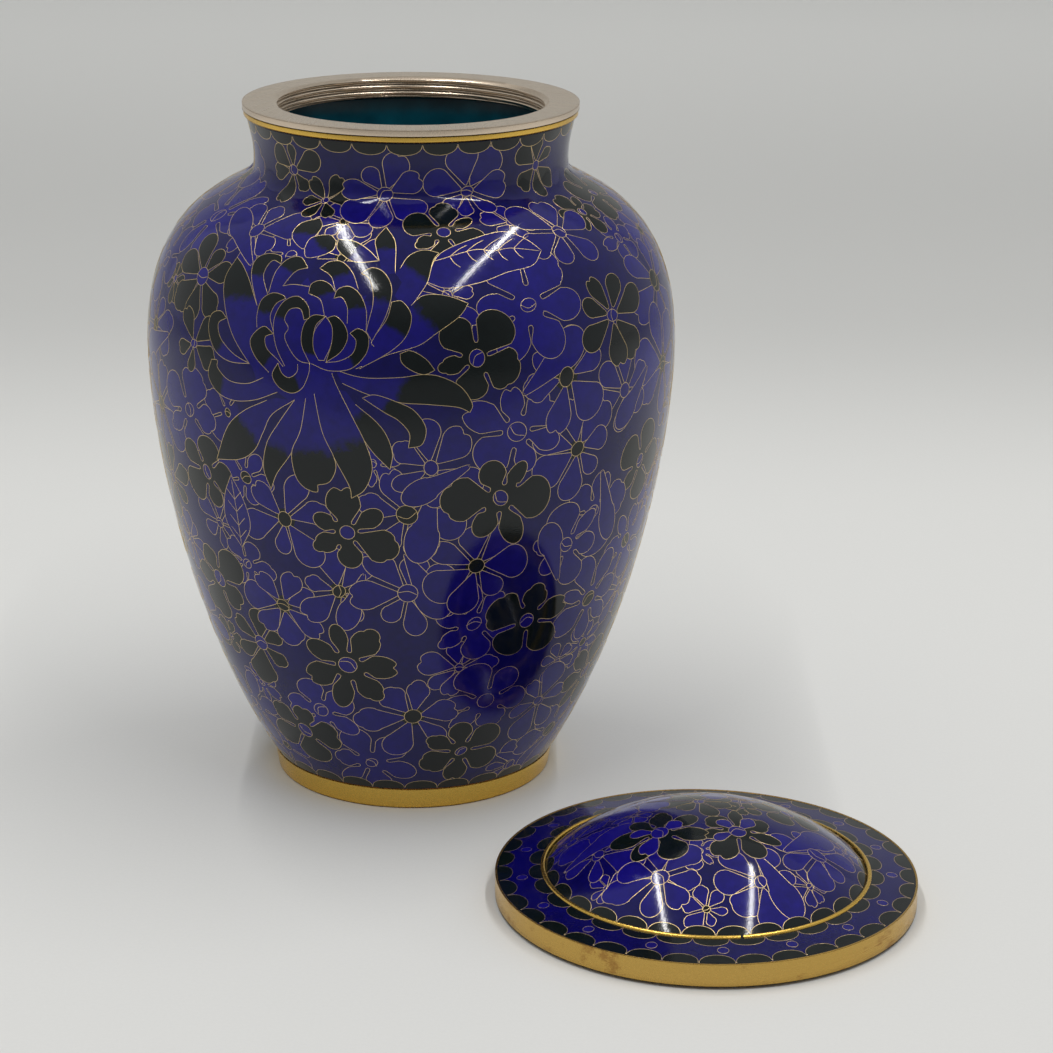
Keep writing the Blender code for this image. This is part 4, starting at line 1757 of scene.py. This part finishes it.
@dataclass
class Scatter:
    """Fills what is left of a surface with flowers, evenly but not in rows.

    Distances and radii are in millimetres.  Two flowers may come as near as
    the closeness, a share of their radii together.
    """

    surface: Round
    lowest: float
    highest: float
    radii: Pair
    closeness: float
    dark_share: float
    tries: int
    seed: int

    def place(self, taken: list[Flower], blocked: list[Points]) -> list[Flower]:
        """Choose more flowers.

        Args:
            taken: the flowers that they keep clear of.
            blocked: the outlines that they stay out of.

        Returns:
            The flowers chosen.
        """
        rnd = random.Random(self.seed)
        centres = [self._spot(flower) for flower in taken]
        radii = [flower.radius * MM for flower in taken]
        chosen = []
        for _ in range(self.tries):
            azimuth = rnd.uniform(-180, 180)
            along = rnd.uniform(self.lowest, self.highest)
            radius = rnd.uniform(*self.radii)
            dark = rnd.random() < self.dark_share
            candidate = Flower(azimuth, along, radius, rnd.choice((5, 5, 6, 6, 7)), dark,
                               Petals.OPEN if rnd.random() < 0.5 else Petals.CLOSED,
                               not dark and rnd.random() < 0.35, rnd.uniform(0, 60))
            spot = self._spot(candidate)
            gaps = [np.linalg.norm(spot - other) - self.closeness * (radius * MM + reach)
                    for other, reach in zip(centres, radii)]
            if gaps and min(gaps) < 0:
                continue
            plan = self.surface.to_plan(np.array([math.radians(azimuth)]), np.array([along * MM]))
            if any(inside(plan, outline)[0] for outline in blocked):
                continue
            centres.append(spot)
            radii.append(radius * MM)
            chosen.append(candidate)
        return chosen

    def _spot(self, flower: Flower) -> Points:
        """A flower's place in space."""
        return self.surface.solid_at(np.array([math.radians(flower.azimuth)]),
                                     np.array([flower.along * MM]))[0][0]


# -------------------- the vase


def bezier_stretch(start: Pair, leave: Pair, arrive: Pair, end: Pair, count: int) -> Points:
    """Find points along one cubic stretch.

    Args:
        start: where it starts.
        leave: the point that it sets out towards.
        arrive: the point that it comes in from.
        end: where it ends.
        count: how many points there are.

    Returns:
        The points, the end left out.
    """
    t = np.linspace(0, 1, count, endpoint=False)[:, None]
    s = 1 - t
    knots = [np.array(p) for p in (start, leave, arrive, end)]
    return s ** 3 * knots[0] + 3 * s * s * t * knots[1] + 3 * s * t * t * knots[2] + t ** 3 * knots[3]


@dataclass
class BodyCurve:
    """The outside of the vase's body, from the foot ring to the mouth band."""

    foot_radius: float
    bottom: float
    belly_radius: float
    mouth_radius: float
    top: float
    waist_radius: float = 48.4 * MM
    belly_height: float = 141.0 * MM
    waist_height: float = 197.5 * MM
    foot_slope: float = 0.62
    mouth_slope: float = 0.25

    def outline(self) -> Points:
        """Radius and height of finely spaced points, the lowest first."""
        rise = self.belly_height - self.bottom
        drop = self.waist_height - self.belly_height
        flare = self.top - self.waist_height
        foot, belly = (self.foot_radius, self.bottom), (self.belly_radius, self.belly_height)
        waist, mouth = (self.waist_radius, self.waist_height), (self.mouth_radius, self.top)
        lower = bezier_stretch(foot, (foot[0] + self.foot_slope * 0.33 * rise, foot[1] + 0.33 * rise),
                               (belly[0], belly[1] - 0.20 * rise), belly, 400)
        upper = bezier_stretch(belly, (belly[0], belly[1] + 0.90 * drop), (waist[0], waist[1] - 0.14 * drop),
                               waist, 300)
        neck = bezier_stretch(waist, (waist[0], waist[1] + 0.50 * flare),
                              (mouth[0] - self.mouth_slope * 0.30 * flare, mouth[1] - 0.30 * flare), mouth, 80)
        return np.vstack([lower, upper, neck, [mouth]])


def add_piece(piece: Piece, body: str, material: Material,
              replaced: str | None = None) -> None:
    """Put a piece in the scene on its body, dressed.

    Args:
        piece: the new object.
        body: the CAD body it moves with.
        material: its finish.
        replaced: the CAD node it stands for, if any.
    """
    bpy.context.scene.collection.objects.link(piece)
    piece.data.materials.append(material)
    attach(piece, body)
    if replaced is not None:
        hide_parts(replaced)
    log.info("%s on %s: %d faces", piece.name, body, len(piece.data.polygons))


@dataclass(frozen=True)
class Finishes:
    """All the materials, made once."""

    cells: Material
    lining: Material
    wire: Material
    gilt: Material
    gilt_rim: Material
    silver: Material
    copper: Material


def make_finishes() -> Finishes:
    """Make every finish of the vase and lid."""
    effects = Effects()
    metals = {
        "wire": TurnedMetal("wire_gilt", colour=(0.80, 0.60, 0.30), tarnish=(0.40, 0.28, 0.14), roughness=0.34,
                            line_depth=0.02, tarnish_share=0.10),
        "gilt": TurnedMetal("gilt", colour=(0.79, 0.51, 0.105), tarnish=(0.46, 0.27, 0.05), roughness=0.26,
                            line_depth=0.10, tarnish_share=0.06),
        "gilt_rim": TurnedMetal("gilt_rim", colour=(0.56, 0.36, 0.095), tarnish=(0.40, 0.22, 0.06),
                                roughness=0.30, line_depth=0.06, tarnish_share=0.33, fineness=2600.0,
                                line_length=2.0),
        "silver": TurnedMetal("silver_plate", colour=(0.72, 0.60, 0.47), tarnish=(0.58, 0.46, 0.34),
                              roughness=0.27, line_depth=0.0, tarnish_share=0.10, fineness=9000.0),
        "copper": TurnedMetal("spun_copper", colour=(0.70, 0.34, 0.20), tarnish=(0.25, 0.11, 0.06),
                              roughness=0.42, line_depth=0.25, tarnish_share=0.25),
    }
    return Finishes(cells=CellEnamel().build(effects), lining=PlainEnamel().build(effects),
                    **{use: metal.build(effects) for use, metal in metals.items()})


@dataclass
class Cloisonne:
    """Turns a drawing into the enamel and the wires of one surface.

    The wires are split into pieces of about the same number of vertices.
    """

    drawing: Drawing
    wire_width: float = 0.50 * MM
    wire_rise: float = 0.05 * MM
    wire_sink: float = 0.15 * MM
    wires_per_piece: int = 60000

    def build(self, name: str, body: str, replaced: str, finishes: Finishes, axis: Pair) -> None:
        """Make and dress the enamel and its wires.

        Args:
            name: what the pieces' names start with.
            body: the CAD body they move with.
            replaced: the CAD node that the enamel stands for.
            finishes: all the finishes.
            axis: the surface's upright axis.
        """
        stretches = self.drawing.runs()
        enamel = self.drawing.enamel(f"{name}_cells", stretches)
        enamel.data.transform(shift(axis))
        add_piece(enamel, body, finishes.cells, replaced)
        for number, group in enumerate(self._shares(stretches)):
            wires = self.drawing.wires(f"{name}_wires_{number + 1}", group, self.wire_width,
                                       self.wire_rise, self.wire_sink)
            wires.data.transform(shift(axis))
            add_piece(wires, body, finishes.wire)

    def _shares(self, stretches: list[Run]) -> list[list[Run]]:
        """The wires in groups that each make one piece."""
        groups, size = [[]], 0
        for stretch in stretches:
            size += 3 * len(stretch[0])
            if size > self.wires_per_piece:
                groups.append([])
                size = 0
            groups[-1].append(stretch)
        return groups


def shift(axis: Pair) -> Matrix:
    """The move from the middle of the world to an upright axis."""
    return Matrix.Translation((axis[0], axis[1], 0.0))


@dataclass
class Vase:
    """The vase: enamelled body, foot ring, mouth band, threaded collar and lining."""

    nodes: dict[str, Piece]
    finishes: Finishes
    neck_scallops: int = 30
    neck_depth: float = 3.6 * MM
    foot_scallops: int = 28
    foot_depth: float = 4.2 * MM
    collar_bore: float = 41.0 * MM
    thread_depth: float = 1.0 * MM
    collar_wall: float = 2.6 * MM
    collar_flange: float = 1.8 * MM
    collar_chamfer: float = 0.4 * MM
    thread_ends: Pair = (0.2 * MM, 0.5 * MM)
    band_step: float = 0.8 * MM

    def __post_init__(self) -> None:
        """Take the axis and the body's curve from the frame."""
        low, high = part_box("cloisonne_skin")
        self.axis = ((low.x + high.x) / 2, (low.y + high.y) / 2)
        foot_low, foot_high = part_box("foot_ring")
        band_low, band_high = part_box("mouth_band")
        self.surface = Round(self.axis, BodyCurve(
            foot_radius=(foot_high.x - foot_low.x) / 2,
            bottom=low.z,
            belly_radius=(high.x - low.x) / 2,
            mouth_radius=(band_high.x - band_low.x) / 2 - self.band_step,
            top=high.z,
        ).outline())

    def build(self) -> None:
        """Make every piece of the vase."""
        turner = Turner(self.nodes)
        Cloisonne(Drawing(self.surface, self._items())).build(
            "vase", "vase", "cloisonne_skin", self.finishes, self.axis)
        gilt, lining = self.finishes.gilt, self.finishes.lining
        for name, node, slot, finish in (
            ("vase_foot", "foot_ring", "gilt", gilt),
            ("vase_base_glaze", "base_enamel", "turquoise_enamel", lining),
            ("vase_lip_band", "mouth_band", "gilt", gilt),
            ("vase_inside_glaze", "turquoise_lining", "turquoise_enamel", lining),
        ):
            add_piece(turner.from_node(name, node, self.axis), "vase", finish, node)
        self._collar()
        self.nodes["copper_body"].data.materials.clear()
        self.nodes["copper_body"].data.materials.append(self.finishes.copper)

    def _collar(self) -> None:
        """The silver-plated collar with its inside thread."""
        low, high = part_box("threaded_collar")
        flange = (high.x - low.x) / 2
        root = self.collar_bore + self.thread_depth
        barrel = root + self.collar_wall
        under = high.z - self.collar_flange
        ring = ScrewRing(
            self.axis,
            [(root + self.collar_chamfer, high.z), (flange, high.z), (flange, under), (barrel, under),
             (barrel, low.z), (root, low.z)],
            thread_low=low.z + self.thread_ends[0], thread_high=high.z - self.thread_ends[1],
            crest=self.collar_bore, root=root,
        )
        add_piece(ring.build("vase_collar"), "vase", self.finishes.silver, "threaded_collar")

    def _items(self) -> list[Item]:
        """Everything drawn on the body, the top one first."""
        surface = self.surface
        painter = FlowerPainter(surface, seed=11)
        front = GreatBloom(surface)
        behind = GreatBloom(surface, azimuth=160.0, along=146.0, mirror=True)
        items = scallops(surface, surface.length, self.neck_scallops, self.neck_depth, False, Fill.DARK)
        items += scallops(surface, 0.0, self.foot_scallops, self.foot_depth, True, Fill.DARK, first=5.0)
        blooms = front.items() + behind.items()
        items += blooms
        blocked = [item.points for item in blooms if item.fill is not None]
        items += upright_leaf(surface, azimuth=-40.0, along=90.0, length=24.0, turn=0.0)
        flowers = list(FRONT_FLOWERS)
        large = Scatter(surface, lowest=8, highest=208, radii=(11.5, 15.0), closeness=0.80, dark_share=0.24,
                        tries=2600, seed=5)
        flowers += large.place(flowers, blocked)
        small = Scatter(surface, lowest=5, highest=214, radii=(6.5, 9.5), closeness=0.78, dark_share=0.12,
                        tries=2600, seed=6)
        flowers += small.place(flowers, blocked)
        for flower in flowers:
            items += painter.flower(flower)
        return items


# -------------------- the lid


# The flowers on the lid's dome, those in front first.
DOME_FLOWERS = (
    Flower(-54, 34, 13.5, 7, True, turn=10, blue_heart=True),
    Flower(36, 38, 13.5, 7, True, turn=30, blue_heart=True),
    Flower(-27, 18, 13, 6, False, Petals.CLOSED, turn=15),
    Flower(24, 17, 13, 6, False, Petals.CLOSED, turn=5),
    Flower(-69, 16, 12, 5, False, Petals.CLOSED, turn=25),
    Flower(69, 17, 12, 6, False, Petals.CLOSED, turn=0),
)


@dataclass
class Lid:
    """The lid: enamelled dome and flange, gilt rim, bead wire and screw ring.

    The dome's base, the flange's edges and the bead's centre are each a
    radius and a height; the bead's split is a bearing and a width.
    """

    nodes: dict[str, Piece]
    finishes: Finishes
    enamel_back: float = 0.95 * MM
    dome_base: Pair = (47.45 * MM, 8.8 * MM)
    flange_edges: tuple[Pair, Pair] = ((61.35 * MM, 7.7 * MM), (48.3 * MM, 9.15 * MM))
    rim_wall: float = 1.8 * MM
    rim_lip: float = 0.6 * MM
    rim_step: float = 1.2 * MM
    rim_ease: float = 0.00022
    bead_centre: Pair = (47.9 * MM, 9.1 * MM)
    bead_radius: float = 0.7 * MM
    outer_scallops: int = 37
    inner_scallops: int = 30
    dome_scallops: int = 30
    ring_count: int = 17
    crest: float = 41.65 * MM
    thread_depth: float = 1.0 * MM
    bore: float = 38.45 * MM
    screw_flange: float = 1.0 * MM
    thread_ends: Pair = (0.4 * MM, 0.1 * MM)
    bead_split: Pair = (math.radians(-81.0), 0.9 * MM)

    def __post_init__(self) -> None:
        """Take the axis from the frame."""
        low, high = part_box("lid_rim_band")
        self.axis = ((low.x + high.x) / 2, (low.y + high.y) / 2)

    def build(self) -> None:
        """Make every piece of the lid."""
        turner = Turner(self.nodes)
        self._dome()
        self._flange()
        glaze = turner.from_node("lid_inside_glaze", "lid_lining", self.axis)
        add_piece(glaze, "lid", self.finishes.lining, "lid_lining")
        shell = turner.from_node("lid_copper_shell", "lid_copper", self.axis)
        add_piece(shell, "lid", self.finishes.copper, "lid_copper")
        self._rim(turner)
        self._bead(turner)
        self._screw_ring()

    def _rim(self, turner: Turner) -> None:
        """The gilt rim, thin above the step that the flange rests on."""
        low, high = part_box("lid_rim_band")
        outer = (high.x - low.x) / 2
        lip, bore, step = outer - self.rim_lip, outer - self.rim_wall, high.z - self.rim_step
        corners = [(lip, high.z), (outer, high.z), (outer, low.z), (bore, low.z), (bore, step), (lip, step)]
        rim = turner.spin("lid_rim", refined(np.array(corners), True, self.rim_ease), self.axis, True)
        add_piece(rim, "lid", self.finishes.gilt_rim, "lid_rim_band")

    def _bead(self, turner: Turner) -> None:
        """The round wire between dome and flange, its ends not quite meeting."""
        ring = circle(self.bead_radius, 0.2 * MM) + np.array(self.bead_centre)
        bead = turner.spin("lid_bead", ring, self.axis, True, self.bead_split)
        add_piece(bead, "lid", self.finishes.gilt, "lid_bead_ring")

    def _dome(self) -> None:
        """The dome's enamel and wires."""
        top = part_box("lid_dome_enamel")[1].z
        base, foot = self.dome_base
        rise = top - foot
        sphere = (base ** 2 + rise ** 2) / (2 * rise)
        angle = np.linspace(math.asin(base / sphere), 0.0, 240)
        outline = np.column_stack([sphere * np.sin(angle), top - sphere * (1 - np.cos(angle))])
        surface = Round(self.axis, outline, dome=True)
        reach = surface.length / MM
        painter = FlowerPainter(surface, seed=23)
        items = scallops(surface, 0.0, self.dome_scallops, 3.7 * MM, True, Fill.DARK, first=6.4)
        flowers = list(DOME_FLOWERS)
        large = Scatter(surface, lowest=9, highest=reach - 2, radii=(9.5, 13.0), closeness=0.80,
                        dark_share=0.25, tries=900, seed=8)
        flowers += large.place(flowers, [])
        small = Scatter(surface, lowest=8, highest=reach - 1, radii=(5.0, 7.5), closeness=0.76,
                        dark_share=0.1, tries=900, seed=9)
        flowers += small.place(flowers, [])
        for flower in flowers:
            items += painter.flower(flower)
        Cloisonne(Drawing(surface, items, back=self.enamel_back)).build(
            "lid_dome", "lid", "lid_dome_enamel", self.finishes, self.axis)

    def _flange(self) -> None:
        """The flange's enamel and wires."""
        surface = Round(self.axis, np.linspace(*self.flange_edges, 60), dome=True)
        items = scallops(surface, 0.0, self.outer_scallops, 4.5 * MM, True, Fill.DARK)
        items += scallops(surface, surface.length, self.inner_scallops, 3.9 * MM, False, Fill.DARK, first=-1.4)
        items += small_rings(surface, surface.length * 0.53, self.ring_count, radius=1.6 * MM, first=2.0)
        Cloisonne(Drawing(surface, items, back=self.enamel_back)).build(
            "lid_flange", "lid", "lid_flange_enamel", self.finishes, self.axis)

    def _screw_ring(self) -> None:
        """The silver-plated ring under the lid with its outside thread."""
        low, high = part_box("lid_thread_ring")
        flange = (high.x - low.x) / 2
        root = self.crest - self.thread_depth
        under = high.z - self.screw_flange
        ring = ScrewRing(
            self.axis,
            [(root, low.z), (self.bore, low.z), (self.bore, high.z), (flange, high.z), (flange, under),
             (root, under)],
            thread_low=low.z + self.thread_ends[0], thread_high=under - self.thread_ends[1],
            crest=self.crest, root=root,
        )
        add_piece(ring.build("lid_screw_ring"), "lid", self.finishes.silver, "lid_thread_ring")


# -------------------- stage, light and camera


@dataclass
class Studio:
    """Pale table and sweep, two long ceiling lights, soft surroundings, camera.

    Offsets and distances are from the vase's axis; a pair is for -X and +X,
    or from the near end to the far one.
    """

    vase_axis: Pair
    camera_offset: tuple[float, float, float] = (0.0364, -0.9301, 0.3798)
    camera_pitch: float = math.radians(-17.905)
    camera_roll: float = math.radians(0.44)
    lens: float = 104.27
    lamp_height: float = 1.8
    lamp_offsets: Pair = (-0.49, 0.70)
    lamp_reach: Pair = (-1.5, 0.75)
    lamp_width: float = 0.024
    lamp_power: float = 13.0
    lamp_colour: Colour = (1.0, 0.985, 0.96)
    surroundings: Colour = (0.49, 0.49, 0.485)
    front_shade_share: float = 0.45
    table_front: float = -2.2
    table_half: float = 2.2
    sweep_start: float = 1.95
    sweep_radius: float = 0.35
    sweep_steps: int = 24
    wall_top: float = 2.6

    def build(self) -> None:
        """Make the camera, lights, surroundings and backdrop."""
        self._camera()
        self._lamps()
        self._world()
        self._backdrop()
        bpy.context.scene.view_settings.view_transform = "Standard"

    def _camera(self) -> None:
        """The camera, above the vase's mouth and looking down at both pieces."""
        data = bpy.data.cameras.new("camera")
        data.lens = self.lens
        data.sensor_width = 36.0
        camera = bpy.data.objects.new("camera", data)
        x, y, z = self.camera_offset
        place = Matrix.Translation((self.vase_axis[0] + x, self.vase_axis[1] + y, z))
        tilt = Matrix.Rotation(math.pi / 2 + self.camera_pitch, 4, "X")
        roll = Matrix.Rotation(self.camera_roll, 4, "Z")
        camera.matrix_world = place @ tilt @ roll
        bpy.context.scene.collection.objects.link(camera)
        bpy.context.scene.camera = camera

    def _lamps(self) -> None:
        """Two narrow strip lights along the ceiling."""
        near, far = self.lamp_reach
        x0, y0 = self.vase_axis
        for number, offset in enumerate(self.lamp_offsets):
            data = bpy.data.lights.new(f"strip_{number + 1}", "AREA")
            data.shape = "RECTANGLE"
            data.size = self.lamp_width
            data.size_y = far - near
            data.energy = self.lamp_power
            data.color = self.lamp_colour
            lamp = bpy.data.objects.new(data.name, data)
            lamp.location = (x0 + offset, y0 + (near + far) / 2, self.lamp_height)
            bpy.context.scene.collection.objects.link(lamp)

    def _world(self) -> None:
        """Soft light from all round, dimmer low down in front."""
        world = bpy.data.worlds.new("surroundings")
        world.use_nodes = True
        tree = world.node_tree
        background = tree.nodes["Background"]
        parts = tree.nodes.new("ShaderNodeSeparateXYZ")
        tree.links.new(tree.nodes.new("ShaderNodeTexCoord").outputs["Generated"], parts.inputs[0])
        frontward = spread(tree, calc(tree, "MULTIPLY", parts.outputs[1], -1.0), 0.2, 0.9)
        low = spread(tree, parts.outputs[2], 0.3, 0.8, 1.0, 0.0)
        share = calc(tree, "MULTIPLY", frontward, low)
        shaded = tuple(self.front_shade_share * value for value in self.surroundings)
        tree.links.new(blend_colours(tree, share, self.surroundings, shaded), background.inputs["Color"])
        bpy.context.scene.world = world

    def _backdrop(self) -> None:
        """The table, curving up into the wall behind."""
        x0, y0 = self.vase_axis
        profile = [(y0 + self.table_front, 0.0), (y0 + self.sweep_start, 0.0)]
        for step in range(1, self.sweep_steps + 1):
            angle = math.pi / 2 * step / self.sweep_steps
            profile.append((y0 + self.sweep_start + self.sweep_radius * math.sin(angle),
                            self.sweep_radius * (1 - math.cos(angle))))
        profile.append((profile[-1][0], self.wall_top))
        vertices = [(x0 + x, y, z) for y, z in profile for x in (-self.table_half, self.table_half)]
        faces = [(2 * i, 2 * i + 1, 2 * i + 3, 2 * i + 2) for i in range(len(profile) - 1)]
        mesh = bpy.data.meshes.new("backdrop")
        mesh.from_pydata(vertices, [], faces)
        mesh.shade_smooth()
        backdrop = bpy.data.objects.new("backdrop", mesh)
        mesh.materials.append(StagePaper(y0).build())
        bpy.context.scene.collection.objects.link(backdrop)


def main() -> None:
    """Build the studio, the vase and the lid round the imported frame."""
    logging.basicConfig(level=logging.INFO, format="%(message)s")
    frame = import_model()
    finishes = make_finishes()
    vase = Vase(frame["nodes"], finishes)
    Studio(vase.axis).build()
    vase.build()
    Lid(frame["nodes"], finishes).build()


if __name__ == "__main__":
    main()
